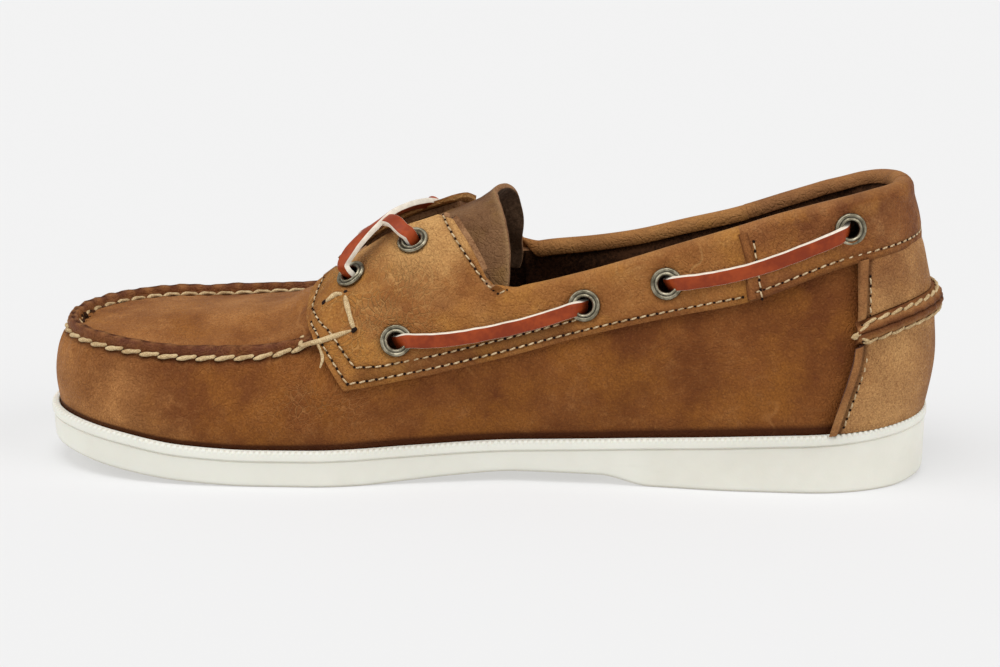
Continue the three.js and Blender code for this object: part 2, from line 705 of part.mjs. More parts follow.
// Each hole, with the shallow seat that the eyelet's flange presses into the leather.
const holes = eyelets.map(({ point, normal }) => {
  const drill = (radius, low, high) => {
    const rod = new THREE.CylinderGeometry(radius, radius, high - low, EYELET.sides);
    rod.rotateX(Math.PI / 2);
    rod.translate(0, 0, (low + high) / 2);
    rod.applyQuaternion(new THREE.Quaternion().setFromUnitVectors(new THREE.Vector3(0, 0, 1), normal));
    rod.translate(point.x, point.y, point.z);
    return solid(rod);
  };
  return drill(EYELET.barrel + GAP, -12, 12).add(drill(EYELET.flange + GAP, EYELET.lift - GAP, 12));
});
const punched = (piece) => holes.reduce((left, hole) => left.subtract(hole), piece);

// A flat strap along a path: each step has a place and the direction that the strap's face looks.
function strap(steps, width, thick) {
  const rows = steps.map(({ point, normal }, i) => {
    const before = steps[Math.max(0, i - 1)].point;
    const after = steps[Math.min(steps.length - 1, i + 1)].point;
    const across = after.clone().sub(before).cross(normal).normalize().multiplyScalar(width / 2);
    const out = normal.clone().multiplyScalar(thick / 2);
    const corner = (a, b) => point.clone().addScaledVector(across, a).addScaledVector(out, b);
    return [corner(-1, -1), corner(1, -1), corner(1, 1), corner(-1, 1)];
  });
  return solid(cappedSkin(rows));
}

// The bar of lace between two eyelets of one side, lying along the band.
function laceBar(side, from, to) {
  const steps = [];
  const count = 12;
  const clear = GAP + OVERLAY + EYELET.lift + EYELET.rise + GAP;
  for (let i = 0; i <= count; i += 1) {
    const t = i / count;
    const x = THREE.MathUtils.lerp(from.x, to.x, t);
    const z = THREE.MathUtils.lerp(from.z, to.z, t) - LACE.sag * 4 * t * (1 - t);
    const lift = clear + LACE.thick / 2;
    const { point, normal } = onLast(x, z, side, lift);
    steps.push({ point, normal });
  }
  return strap(steps, LACE.width, LACE.thick);
}

// Two straps that cross over the throat, from each lower eyelet to the opposite upper one.
function laceCrossing() {
  const find = (name) => eyelets.find((eyelet) => eyelet.name === name);
  const arch = (from, to, peak) => {
    const count = 12;
    const steps = [];
    const start = from.point.clone().addScaledVector(from.normal, 3.4);
    const finish = to.point.clone().addScaledVector(to.normal, 3.4);
    const rise = new THREE.Vector3(2, 0, peak);
    const middle = start.clone().lerp(finish, 0.5).add(rise);
    const first = start.clone().addScaledVector(from.normal, 6).lerp(middle, 0.35);
    const second = finish.clone().addScaledVector(to.normal, 6).lerp(middle, 0.35);
    const curve = new THREE.CatmullRomCurve3([start, first, middle, second, finish]);
    for (let i = 0; i <= count; i += 1) {
      const t = i / count;
      const tangent = curve.getTangent(t);
      const blend = from.normal.clone().lerp(to.normal, t);
      const normal = blend.addScaledVector(tangent, -blend.dot(tangent)).normalize();
      steps.push({ point: curve.getPoint(t), normal });
    }
    return strap(steps, LACE.width, LACE.thick);
  };
  const one = arch(find("eyelet_medial_throat_lower"), find("eyelet_lateral_throat_upper"), 5.6);
  const other = arch(find("eyelet_lateral_throat_lower"), find("eyelet_medial_throat_upper"), 4.4);
  return one.add(other);
}

// ---------------------------------------------------------------- assembly
const shoe = new THREE.Group();
shoe.position.x = -HEEL_CENTRE;
const add = (name, geometry, look) => {
  const mesh = new THREE.Mesh(geometry, look);
  mesh.name = name;
  shoe.add(mesh);
  return mesh;
};

const overlayShell = shellBetween(GAP, GAP + OVERLAY);
const counterShell = shellBetween(2 * GAP, 2 * GAP + COUNTER);
const upper = punched(openCollar(shellBetween(-LEATHER, 0)).subtract(footbedCutter).subtract(throatSlot));

add("outsole", geometryOf(outsole()), rubber);
add("insole", geometryOf(insole()), lining);
add("upper", geometryOf(upper), leather);
add("tongue", geometryOf(tongue()), suede);
for (const side of ["medial", "lateral"]) {
  const cut = openCollar(overlayShell.intersect(saddleRegion(side))).subtract(throatSlot);
  add(`saddle_${side}`, geometryOf(punched(cut)), leather);
}
add("collar_rear", geometryOf(punched(openCollar(overlayShell.intersect(collarRegion())))), leather);
add("collar_lining", geometryOf(collarLining()), suede);
for (const part of ["lower", "upper"]) {
  const cut = counterShell.intersect(counterRegion(part)).subtract(rimCutter);
  add(`heel_counter_${part}`, geometryOf(cut), darkLeather);
}
add("kicker_seam", geometryOf(kicker()), darkLeather);

const ringGeometry = geometryOf(solid(eyeletGeometry()));
for (const { name, point, normal } of eyelets) {
  const ring = add(name, ringGeometry, metal);
  ring.position.copy(point);
  ring.quaternion.setFromUnitVectors(new THREE.Vector3(0, 0, 1), normal);
}
for (const side of ["medial", "lateral"]) {
  const [front, middleFront, middleRear, rear] = BAND_EYELETS;
  add(`lace_bar_${side}_front`, geometryOf(laceBar(side, front, middleFront)), lacing);
  add(`lace_bar_${side}_rear`, geometryOf(laceBar(side, middleRear, rear)), lacing);
}
add("lace_crossing", geometryOf(laceCrossing()), lacing);

const root = new THREE.Group();
root.add(shoe);
export default root;
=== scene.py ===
"""A right boat shoe in oiled leather on a pale rubber sole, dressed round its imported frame."""

import logging
import math
from dataclasses import dataclass
from enum import Enum
from typing import Callable, NamedTuple, Sequence

import bpy
import numpy as np
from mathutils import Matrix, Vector

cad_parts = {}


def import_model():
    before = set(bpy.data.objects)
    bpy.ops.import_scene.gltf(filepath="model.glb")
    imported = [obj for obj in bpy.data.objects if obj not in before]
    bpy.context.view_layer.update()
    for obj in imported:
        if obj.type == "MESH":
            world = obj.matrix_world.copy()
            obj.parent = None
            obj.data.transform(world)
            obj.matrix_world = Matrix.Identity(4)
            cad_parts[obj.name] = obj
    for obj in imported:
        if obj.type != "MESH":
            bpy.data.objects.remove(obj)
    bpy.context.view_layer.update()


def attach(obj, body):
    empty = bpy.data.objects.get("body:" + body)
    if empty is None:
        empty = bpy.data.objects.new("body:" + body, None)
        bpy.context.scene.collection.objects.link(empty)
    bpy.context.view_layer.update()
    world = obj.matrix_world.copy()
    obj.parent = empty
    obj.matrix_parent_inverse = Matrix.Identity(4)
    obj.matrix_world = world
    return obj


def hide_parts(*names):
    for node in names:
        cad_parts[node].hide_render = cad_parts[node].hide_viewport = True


Array = np.ndarray
LOG = logging.getLogger("boat_shoe")

MM = 0.001
HEEL_CENTRE = 38.0  # stations are measured from the back of the sole, the frame from here
THREAD_SLOT = "lace_leather"  # the record's slot for the lace, the thread and the needle holes


# ---------------------------------------------------------------- curves and vectors
class Track:
    """A smooth curve through one column of a table, without overshoot."""

    def __init__(self, xs: Sequence[float], ys: Sequence[float]) -> None:
        """Works out the slopes.

        Args:
            xs: rising positions.
            ys: the value at each position.
        """
        self.xs = np.asarray(xs, float)
        self.ys = np.asarray(ys, float)
        steps = np.diff(self.ys) / np.diff(self.xs)
        slopes = np.zeros(len(self.xs))
        slopes[0], slopes[-1] = steps[0], steps[-1]
        before, after = steps[:-1], steps[1:]
        same = before * after > 0
        total = np.where(same, before + after, 1.0)
        slopes[1:-1] = np.where(same, 2 * before * after / total, 0.0)
        self.slopes = slopes

    def __call__(self, x: Array | float) -> Array:
        """Returns the value at each x, held at its end values outside the table."""
        x = np.clip(np.asarray(x, float), self.xs[0], self.xs[-1])
        i = np.clip(np.searchsorted(self.xs, x) - 1, 0, len(self.xs) - 2)
        h = self.xs[i + 1] - self.xs[i]
        s = (x - self.xs[i]) / h
        s2, s3 = s * s, s * s * s
        rise = self.ys[i] * (2 * s3 - 3 * s2 + 1) + self.ys[i + 1] * (3 * s2 - 2 * s3)
        return rise + h * (self.slopes[i] * (s3 - 2 * s2 + s) + self.slopes[i + 1] * (s3 - s2))


def smooth(low: float, high: float, value: Array) -> Array:
    """Returns 0 below low, 1 above high and an easy curve between."""
    t = np.clip((value - low) / (high - low), 0.0, 1.0)
    return t * t * (3 - 2 * t)


def bell(value: Array, width: float) -> Array:
    """Returns 1 where the value is 0, falling away over a width on both sides."""
    return np.exp(-((value / width) ** 2))


def unit(vectors: Array) -> Array:
    """Returns vectors of length one."""
    return vectors / np.maximum(np.linalg.norm(vectors, axis=-1, keepdims=True), 1e-9)


def bezier(a: Array, b: Array, c: Array, d: Array, t: Array) -> Array:
    """Returns a cubic Bezier curve's value."""
    return a * (1 - t) ** 3 + 3 * b * t * (1 - t) ** 2 + 3 * c * t * t * (1 - t) + d * t**3


def arc_lengths(points: Array) -> Array:
    """Returns the distance from the first point along a path to each of its points."""
    return np.concatenate([[0.0], np.cumsum(np.linalg.norm(np.diff(points, axis=0), axis=1))])


def resample(points: Array, count: int) -> Array:
    """Returns a path's points at even distances."""
    length = arc_lengths(points)
    wanted = np.linspace(0, length[-1], count)
    return np.stack([np.interp(wanted, length, points[:, k]) for k in range(points.shape[1])], -1)


def spline(knots: Sequence[Sequence[float]], count: int) -> Array:
    """Returns a smooth path through knots, at even distances.

    Args:
        knots: the points to pass through.
        count: how many points to return.
    """
    k = np.asarray(knots, float)
    k = np.concatenate([[2 * k[0] - k[1]], k, [2 * k[-1] - k[-2]]])
    pieces = []
    for a, b, c, d in zip(k[:-3], k[1:-2], k[2:-1], k[3:]):
        t = np.linspace(0, 1, 24)[:, None]
        pieces.append(
            0.5 * (2 * b + (c - a) * t + (2 * a - 5 * b + 4 * c - d) * t**2 + (3 * b - a - 3 * c + d) * t**3)
        )
    return resample(np.concatenate(pieces), count)


# ---------------------------------------------------------------- the last
class Side(Enum):
    """Which side of the foot."""

    MEDIAL = 1
    LATERAL = -1

    @property
    def label(self) -> str:
        """The side's name in piece names."""
        return self.name.lower()


class Outline(NamedTuple):
    """Half widths of the sole before its ends are rounded."""

    x: float
    medial: float
    lateral: float


class SoleHeight(NamedTuple):
    """The tread and the top of the rim."""

    x: float
    tread: float
    rim: float


class Section(NamedTuple):
    """One section of the last, from the feather line over the shoulder to the crown."""

    x: float
    flare: float
    lean: float
    top: float
    shoulder: float
    lift: float
    tuck: float
    crown: float
    reach: float
    ridge: float


OUTLINE = (
    Outline(0, 35.5, 35.5),
    Outline(30, 36.2, 36.2),
    Outline(60, 36.6, 37.2),
    Outline(98, 33.8, 39),
    Outline(132, 33, 42.5),
    Outline(167, 39.6, 48.5),
    Outline(199, 47, 53),
    Outline(234, 47.6, 54),
    Outline(263, 48.2, 54),
    Outline(292, 46, 50),
)
SOLE = (
    SoleHeight(0, 1.2, 22.4),
    SoleHeight(11, 0, 21.2),
    SoleHeight(30, 0, 19.8),
    SoleHeight(60, 0, 18.3),
    SoleHeight(89, 0, 16.4),
    SoleHeight(106, 3.2, 15.4),
    SoleHeight(132, 3.4, 14.2),
    SoleHeight(155, 2.2, 13.4),
    SoleHeight(186, 0, 12.4),
    SoleHeight(216, 0, 12.2),
    SoleHeight(240, 1, 13.2),
    SoleHeight(264, 3.6, 16.3),
    SoleHeight(292, 7.8, 19.5),
)
SECTIONS = (
    Section(0, 13, 14, 72, 75, 0, 1.8, 116, 0.6, 0),
    Section(30, 10, 10, 78, 74, 0, 2.6, 116, 0.6, 0),
    Section(64, 9, 10, 79, 70, 0, 2.6, 116, 0.7, 0),
    Section(100, 14, 11, 78, 62, 0, 0.4, 112, 0.9, 0),
    Section(130, 16, 16, 72, 56, 0, -0.6, 103, 1, 0),
    Section(145, 14, 20, 67, 56, 0, 0.6, 92, 1, 0),
    Section(158, 12, 24, 64, 57, 0, 2, 85.4, 1, 0),
    Section(175, 12, 30, 60, 55, 0, 4.4, 78.4, 1, 0),
    Section(193, 14, 32, 50, 48, 1.4, 7, 65.4, 1, 0),
    Section(206, 16, 26, 30, 43, 2.8, 7, 56, 1, 3.2),
    Section(218, 18, 24, 16, 40.8, 3, 6.6, 51, 1, 3.6),
    Section(240, 20, 24, 12, 40.2, 2.6, 6.2, 49, 1, 3.8),
    Section(264, 20, 26, 12, 41.6, 1.8, 5.4, 48.6, 1, 3.8),
    Section(292, 8, 30, 10, 43.8, 0, 3, 47.6, 1, 3.8),
)
TOPLINE_X = (4, 15, 29, 46, 64, 80, 99, 113, 126, 136, 141)
TOPLINE_MEDIAL = (98.8, 98.2, 95.8, 91.4, 85.5, 80.3, 74, 69.8, 66.4, 64.6, 64.6)
TOPLINE_LATERAL = (98.8, 97, 92.8, 87.2, 81, 76.7, 71.5, 69, 67.4, 66, 66)
SADDLE_BACK_X = (143, 149, 155, 161, 168)
SADDLE_BACK_Z = (66.5, 76, 82.5, 88.5, 97)
BAND_EDGE_X = (4, 26, 58, 82, 108, 140, 172, 187.6)
BAND_EDGE_Z = (78.4, 74.6, 62.6, 57, 50.6, 41.6, 35, 32.2)
THROAT_X = (150, 165, 185, 199)
THROAT_HALF = (10.5, 11.5, 12.5, 10)

topline = {
    Side.MEDIAL: Track(TOPLINE_X, TOPLINE_MEDIAL),
    Side.LATERAL: Track(TOPLINE_X, TOPLINE_LATERAL),
}
band_edge = Track(BAND_EDGE_X, BAND_EDGE_Z)
throat_half = Track(THROAT_X, THROAT_HALF)
saddle_back = Track(SADDLE_BACK_X, SADDLE_BACK_Z)
COUNTER_SPLIT = 52.0  # height that parts the counter's lower colours from its upper ones
RIDGE_ACROSS = (0, 0.1, 0.24, 0.4, 0.56, 0.7, 0.82, 0.92, 1)
RIDGE_UP = (0, 0.45, 0.86, 1, 1, 0.93, 0.66, 0.4, 0.3)
RIDGE_SHARE = 0.12  # share of the step from shoulder to crown that the raised seam takes


@dataclass(frozen=True)
class Last:
    """The surface that every leather piece is cut from.

    A place is given by turn (0 at the heel, pi at the toe), rise (-1 under the feather line, 0 on it,
    1 at the shoulder, 2 at the crown) and side (1 medial, -1 lateral). Lengths are millimetres.
    """

    length: float = 292.0
    heel_round: float = 41.0
    toe_round: float = 78.0
    heel_power: float = 2.05
    toe_power: float = 2.28
    toe_shift: float = 8.0
    shift_start: float = 162.0
    room: float = 2.8
    rim_depth: float = 3.2
    gap: float = 0.3
    handle: float = 0.4
    ridge_span: float = 4.4

    def station(self, turn: Array) -> Array:
        """Returns the station of each turn."""
        return self.length * (1 - np.cos(turn)) / 2

    def turn_at(self, x: Array | float) -> Array:
        """Returns the turn of each station."""
        return np.arccos(np.clip(1 - 2 * np.asarray(x, float) / self.length, -1, 1))

    def half(self, x: Array, side: Array) -> Array:
        """Returns the sole's half width."""
        xs = [row.x for row in OUTLINE]
        medial = Track(xs, [row.medial for row in OUTLINE])(x)
        lateral = Track(xs, [row.lateral for row in OUTLINE])(x)
        return np.where(side > 0, medial, lateral)

    def tread(self, x: Array | float) -> Array:
        """Returns the tread's height."""
        return Track([row.x for row in SOLE], [row.tread for row in SOLE])(x)

    def rim(self, x: Array | float) -> Array:
        """Returns the height of the rim's top."""
        return Track([row.x for row in SOLE], [row.rim for row in SOLE])(x)

    def axis(self, x: Array) -> Array:
        """Returns where the middle of the shoe lies across its width."""
        return self.toe_shift * (np.maximum(0, x - self.shift_start) / (self.length - self.shift_start)) ** 2

    def heel_turn(self, x: Array) -> Array:
        """Returns 1 at the back of the heel, 0 where the sides run straight."""
        return np.clip(1 - x / self.heel_round, 0, 1)

    def toe_turn(self, x: Array) -> Array:
        """Returns 1 at the tip of the toe, 0 where the sides run straight."""
        return np.clip((x - self.length + self.toe_round) / self.toe_round, 0, 1)

    def ends(self, x: Array) -> Array:
        """Returns the share of the half width left by the rounded ends."""
        heel = (1 - self.heel_turn(x) ** self.heel_power) ** (1 / self.heel_power)
        toe = (1 - self.toe_turn(x) ** self.toe_power) ** (1 / self.toe_power)
        return heel * toe

    def outline(self, turn: Array, side: Array, inset: Array | float, z: Array | float) -> Array:
        """Returns points of an outline that lies inset inside the sole's own."""
        x = self.station(turn)
        w = (self.half(x, side) - inset) * self.ends(x)
        along = x + inset * (self.heel_turn(x) ** 2 - self.toe_turn(x) ** 2)
        return np.stack(np.broadcast_arrays(along, self.axis(x) + side * w, z), -1)

    def profile(self, x: Array, rise: Array, side: Array) -> tuple[Array, Array, Array]:
        """Returns how far in, how high, and how high the bed under the top is."""
        xs = [row.x for row in SECTIONS]
        row = {name: Track(xs, [getattr(r, name) for r in SECTIONS])(x) for name in Section._fields[1:]}
        feather = self.rim(x) + self.gap
        width = self.half(x, side) - self.room
        shoulder = row["shoulder"] + np.where(side > 0, 0.0, row["lift"])
        climb = shoulder - feather
        flare, lean, top = (np.radians(row[name]) for name in ("flare", "lean", "top"))
        arm = self.handle * climb
        t = np.clip(rise, 0, 1)
        inward = bezier(0 * t, -np.sin(flare) * arm, row["tuck"] - np.sin(lean) * arm, row["tuck"], t)
        z = bezier(feather, feather + np.cos(flare) * arm, shoulder - np.cos(lean) * arm, shoulder, t)
        z = z + np.minimum(rise, 0) * self.rim_depth
        raised = np.minimum(1, row["ridge"] / 3)
        q = np.clip((rise - 1) / RIDGE_SHARE, 0, 1)
        d = q * self.ridge_span
        shape = np.interp(q, RIDGE_ACROSS, RIDGE_UP)
        over = rise > 1
        inward = np.where(over, row["tuck"] + d * (np.cos(top) + (1 - np.cos(top)) * raised), inward)
        z = np.where(over, shoulder + d * np.sin(top) * (1 - raised) + row["ridge"] * shape, z)
        start_in, start_z = inward, z
        end_in = width * row["reach"]
        chord = self.handle * np.hypot(end_in - start_in, row["crown"] - start_z)
        u = np.clip((rise - 1 - RIDGE_SHARE) / (1 - RIDGE_SHARE), 0, 1)
        past = rise > 1 + RIDGE_SHARE
        far_in = bezier(start_in, start_in + np.cos(top) * chord, end_in - chord, end_in, u)
        far_z = bezier(start_z, start_z + np.sin(top) * chord, row["crown"], row["crown"], u)
        return np.where(past, far_in, inward), np.where(past, far_z, z), start_z

    def point(self, turn: Array, rise: Array, side: Array) -> Array:
        """Returns points of the last's surface."""
        turn, rise, side = np.broadcast_arrays(*(np.asarray(v, float) for v in (turn, rise, side)))
        side = np.where((turn < 0) | (turn > math.pi), -side, side)
        side = np.where(rise > 2, -side, side)
        rise = np.where(rise > 2, 4 - rise, rise)
        x = self.station(turn)
        inward, z, bed = self.profile(x, rise, side)
        heel_in = self.profile(np.zeros_like(x), rise, side)[0]
        toe_in = self.profile(np.full_like(x, self.length), np.minimum(rise, 1 + RIDGE_SHARE), side)[0]
        width = self.half(x, side) - self.room
        heel_step = (self.room + heel_in) * self.heel_turn(x) ** 2
        along = x + heel_step - (self.room + toe_in) * self.toe_turn(x) ** 2
        settle = np.where((x > self.length / 2) & (rise > 1 + RIDGE_SHARE), self.ends(x), 1.0)
        y = self.axis(x) + side * (width - inward) * self.ends(x)
        return np.stack([along, y, bed + (z - bed) * settle], -1)

    def normal(self, turn: Array, rise: Array, side: Array) -> Array:
        """Returns outward unit normals."""
        turn, rise, side = np.broadcast_arrays(*(np.asarray(v, float) for v in (turn, rise, side)))
        low = np.where(rise <= 0, rise, rise - 0.01)
        along = self.point(turn + 0.01, rise, side) - self.point(turn - 0.01, rise, side)
        up = self.point(turn, rise + 0.01, side) - self.point(turn, low, side)
        return unit(np.cross(up, along) * side[..., None])

    def at(self, x: Array, z: Array, side: Side) -> "Spots":
        """Returns the surface's places that are seen at (x, z) from the side."""
        x, z = np.broadcast_arrays(np.asarray(x, float), np.asarray(z, float))
        shape, x, z = x.shape, x.ravel(), z.ravel()
        turns, rises = np.meshgrid(np.linspace(0.03, 2.9, 110), np.linspace(0.0, 2.0, 60), indexing="ij")
        grid = self.point(turns, rises, side.value)
        turns, rises, grid = turns.ravel(), rises.ravel(), grid.reshape(-1, 3)
        turn, rise = np.empty_like(x), np.empty_like(x)
        for start in range(0, len(x), 2000):
            part = slice(start, start + 2000)
            away = (grid[None, :, 0] - x[part, None]) ** 2 + (grid[None, :, 2] - z[part, None]) ** 2
            nearest = away.argmin(1)
            turn[part], rise[part] = turns[nearest], rises[nearest]
        for _ in range(8):
            here = self.point(turn, rise, side.value)
            by_turn = (self.point(turn + 1e-3, rise, side.value) - here) / 1e-3
            by_rise = (self.point(turn, rise + 1e-3, side.value) - here) / 1e-3
            ex, ez = x - here[:, 0], z - here[:, 2]
            det = by_turn[:, 0] * by_rise[:, 2] - by_rise[:, 0] * by_turn[:, 2]
            det = np.where(np.abs(det) < 1e-3, 1e-3, det)
            turn = turn + np.clip((ex * by_rise[:, 2] - ez * by_rise[:, 0]) / det, -0.05, 0.05)
            rise = rise + np.clip((ez * by_turn[:, 0] - ex * by_turn[:, 2]) / det, -0.05, 0.05)
            turn, rise = np.clip(turn, 0.001, 3.1), np.clip(rise, -0.5, 2.0)
        return Spots(self, turn.reshape(shape), rise.reshape(shape), np.full(shape, float(side.value)))

    def round_heel(self, turn: Array, z: Callable[[Array, Array], Array] | Array) -> "Spots":
        """Returns places round the heel at given heights.

        Args:
            turn: negative on the medial side, positive on the lateral side.
            z: the height, or a function of station and side that gives it.
        """
        side = np.where(turn < 0, 1.0, -1.0)
        angle = np.abs(turn)
        low, high = np.zeros_like(angle), np.full_like(angle, 1.98)
        for _ in range(26):
            middle = (low + high) / 2
            here = self.point(angle, middle, side)
            wanted = z(here[..., 0], side) if callable(z) else z
            under = here[..., 2] < wanted
            low, high = np.where(under, middle, low), np.where(under, high, middle)
        return Spots(self, angle, (low + high) / 2, side)


@dataclass
class Spots:
    """Places on the last, with their points and outward normals."""

    last: Last
    turn: Array
    rise: Array
    side: Array

    @property
    def points(self) -> Array:
        """The places themselves."""
        return self.last.point(self.turn, self.rise, self.side)

    @property
    def normals(self) -> Array:
        """The outward normal at each place."""
        return self.last.normal(self.turn, self.rise, self.side)

    def lifted(self, lift: Array | float) -> Array:
        """Returns the points moved outwards."""
        return self.points + self.normals * np.asarray(lift, float)[..., None]


LAST = Last()


def lumps(points: Array, size: float, seed: int) -> Array:
    """Returns a soft unevenness between -1 and 1.

    Args:
        points: places, in millimetres.
        size: the usual width of a lump.
        seed: which pattern.
    """
    rng = np.random.default_rng(seed)
    total = np.zeros(points.shape[:-1])
    for _ in range(7):
        wave = rng.normal(size=3)
        wave = wave / np.linalg.norm(wave) * 2 * math.pi / (size * rng.uniform(0.7, 1.6))
        total += np.sin(points @ wave + rng.uniform(0, 2 * math.pi))
    return total / 3.5


@dataclass(frozen=True)
class Fold:
    """A soft trough or, with a negative depth, a ridge in the leather, as seen from the side."""

    start: tuple[float, float]
    end: tuple[float, float]
    width: float
    depth: float
    bow: float = 0.0

    def height(self, x: Array, z: Array) -> Array:
        """Returns how far the leather is pushed out at each place."""
        a, b = np.array(self.start), np.array(self.end)
        run = b - a
        length = np.hypot(*run)
        along = ((x - a[0]) * run[0] + (z - a[1]) * run[1]) / length**2
        across = (-(x - a[0]) * run[1] + (z - a[1]) * run[0]) / length
        across = across - self.bow * 4 * along * (1 - along)
        fade = smooth(-0.05, 0.25, along) * (1 - smooth(0.75, 1.05, along))
        return -self.depth * bell(across, self.width) * fade


# ---------------------------------------------------------------- modelling
def deselect() -> None:
    """Leaves nothing selected."""
    bpy.ops.object.select_all(action="DESELECT")


def pick(piece: bpy.types.Object) -> None:
    """Makes one piece the only selected and active one."""
    deselect()
    piece.select_set(True)
    bpy.context.view_layer.objects.active = piece


def to_frame(points: Array) -> Array:
    """Returns millimetre stations as metres in the shoe's frame."""
    return (points - np.array([HEEL_CENTRE, 0, 0])) * MM


class Sheet:
    """A grid laid over a surface and finished with modifiers."""

    def __init__(
        self, name: str, points: Array, outward: Array | None, masks: dict[str, Array] | None = None
    ) -> None:
        """Lays the grid.

        Args:
            name: the piece's name.
            points: rows by columns of places, in millimetre stations.
            outward: the way that each place faces, or None for a closed form.
            masks: attributes, one value for each place.
        """
        rows, columns = points.shape[:2]
        deselect()
        bpy.ops.mesh.primitive_grid_add(x_subdivisions=columns - 1, y_subdivisions=rows - 1, size=1)
        self.piece = bpy.context.object
        self.piece.name = self.piece.data.name = name
        mesh = self.piece.data
        if len(mesh.vertices) != rows * columns:
            raise ValueError(f"{name}: grid of {len(mesh.vertices)} points, not {rows * columns}")
        mesh.vertices.foreach_set("co", to_frame(points).astype(np.float32).ravel())
        for key, values in (masks or {}).items():
            layer = mesh.attributes.new(key, "FLOAT", "POINT")
            every = np.broadcast_to(values, (rows, columns))
            layer.data.foreach_set("value", every.astype(np.float32).ravel())
        mesh.update()
        if outward is not None:
            facing = np.empty(len(mesh.polygons) * 3, np.float32)
            mesh.polygons.foreach_get("normal", facing)
            wanted = np.broadcast_to(outward, points.shape)[:-1, :-1].reshape(-1, 3)
            if (facing.reshape(-1, 3) * wanted).sum() < 0:
                mesh.flip_normals()
        self.edit(lambda: bpy.ops.mesh.remove_doubles(threshold=2e-5))
        if outward is None:
            self.edit(lambda: bpy.ops.mesh.normals_make_consistent(inside=False))

    def edit(self, work: Callable[[], object]) -> "Sheet":
        """Does one thing to the whole mesh in edit mode."""
        pick(self.piece)
        bpy.ops.object.mode_set(mode="EDIT")
        bpy.ops.mesh.select_all(action="SELECT")
        work()
        bpy.ops.object.mode_set(mode="OBJECT")
        return self

    def modify(self, kind: str, **settings: object) -> "Sheet":
        """Adds one modifier and applies it."""
        pick(self.piece)
        modifier = self.piece.modifiers.new(kind.lower(), kind)
        for key, value in settings.items():
            setattr(modifier, key, value)
        bpy.ops.object.modifier_apply(modifier=modifier.name)
        return self

    def dress(self, *materials: bpy.types.Material) -> "Sheet":
        """Puts materials in the piece's slots."""
        for material in materials:
            self.piece.data.materials.append(material)
        return self

    def thicken(self, thickness: float, edge: float = 0.35, rim: int = 0, inner: int = 0) -> "Sheet":
        """Gives the sheet its leather's thickness, inwards, and softens its cut edges."""
        self.modify(
            "SOLIDIFY",
            thickness=thickness * MM,
            offset=-1.0,
            use_even_offset=False,
            material_offset=inner,
            material_offset_rim=rim,
        )
        if edge > 0:
            sharp = math.radians(50)
            self.modify("BEVEL", width=edge * MM, segments=2, limit_method="ANGLE", angle_limit=sharp)
        return self

    def smooth(self, angle: float = 38.0) -> "Sheet":
        """Shades the piece smooth except at sharp edges."""
        pick(self.piece)
        bpy.ops.object.shade_smooth_by_angle(angle=math.radians(angle))
        return self

    def finish(self, slot: str, *replaced: str) -> bpy.types.Object:
        """Hands the piece to the frame.

        Args:
            slot: not used.
            replaced: the nodes that the piece stands for.

        Returns:
            The finished piece.
        """
        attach(self.piece, "root")
        if replaced:
            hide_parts(*replaced)
        LOG.info("%s: %d faces", self.piece.name, len(self.piece.data.polygons))
        return self.piece


def copies(name: str, pattern: bpy.types.Object, places: list[Array]) -> Sheet:
    """Joins many copies of a pattern piece into one piece.

    Args:
        name: the new piece's name.
        pattern: the piece to copy; it is removed.
        places: for each copy, where each of the pattern's points goes, in millimetre stations.
    """
    faces = [tuple(p.vertices) for p in pattern.data.polygons]
    count = len(pattern.data.vertices)
    every = [tuple(v + i * count for v in face) for i in range(len(places)) for face in faces]
    mesh = bpy.data.meshes.new(name)
    mesh.from_pydata(to_frame(np.concatenate(places)).tolist(), [], every)
    mesh.update()
    piece = bpy.data.objects.new(name, mesh)
    bpy.context.collection.objects.link(piece)
    bpy.data.objects.remove(pattern)
    sheet = Sheet.__new__(Sheet)
    sheet.piece = piece
    sheet.edit(lambda: bpy.ops.mesh.normals_make_consistent(inside=False))
    return sheet


# ---------------------------------------------------------------- shader maths
class Wire:
    """A number's socket that can be used in Python expressions."""

    def __init__(self, bench: "Bench", socket: bpy.types.NodeSocket) -> None:
        """Wraps a socket."""
        self.bench = bench
        self.socket = socket

    def _math(self, operation: str, *values: "Wire | float") -> "Wire":
        """Adds one Math node."""
        settings = {"operation": operation}
        inputs = {i: value for i, value in enumerate(values)}
        return Wire(self.bench, self.bench.node("ShaderNodeMath", settings, inputs).outputs[0])

    def __add__(self, other: "Wire | float") -> "Wire":
        """Returns the sum."""
        return self._math("ADD", self, other)

    __radd__ = __add__

    def __sub__(self, other: "Wire | float") -> "Wire":
        """Returns the difference."""
        return self._math("SUBTRACT", self, other)

    def __rsub__(self, other: "Wire | float") -> "Wire":
        """Returns the difference from the other."""
        return self._math("SUBTRACT", other, self)

    def __mul__(self, other: "Wire | float") -> "Wire":
        """Returns the product."""
        return self._math("MULTIPLY", self, other)

    __rmul__ = __mul__

    def between(self, low: float, high: float) -> "Wire":
        """Returns 0 below low and 1 above high, eased."""
        settings = {"interpolation_type": "SMOOTHSTEP"}
        node = self.bench.node("ShaderNodeMapRange", settings, {0: self, 1: low, 2: high})
        return Wire(self.bench, node.outputs[0])


Colour = tuple[float, float, float]


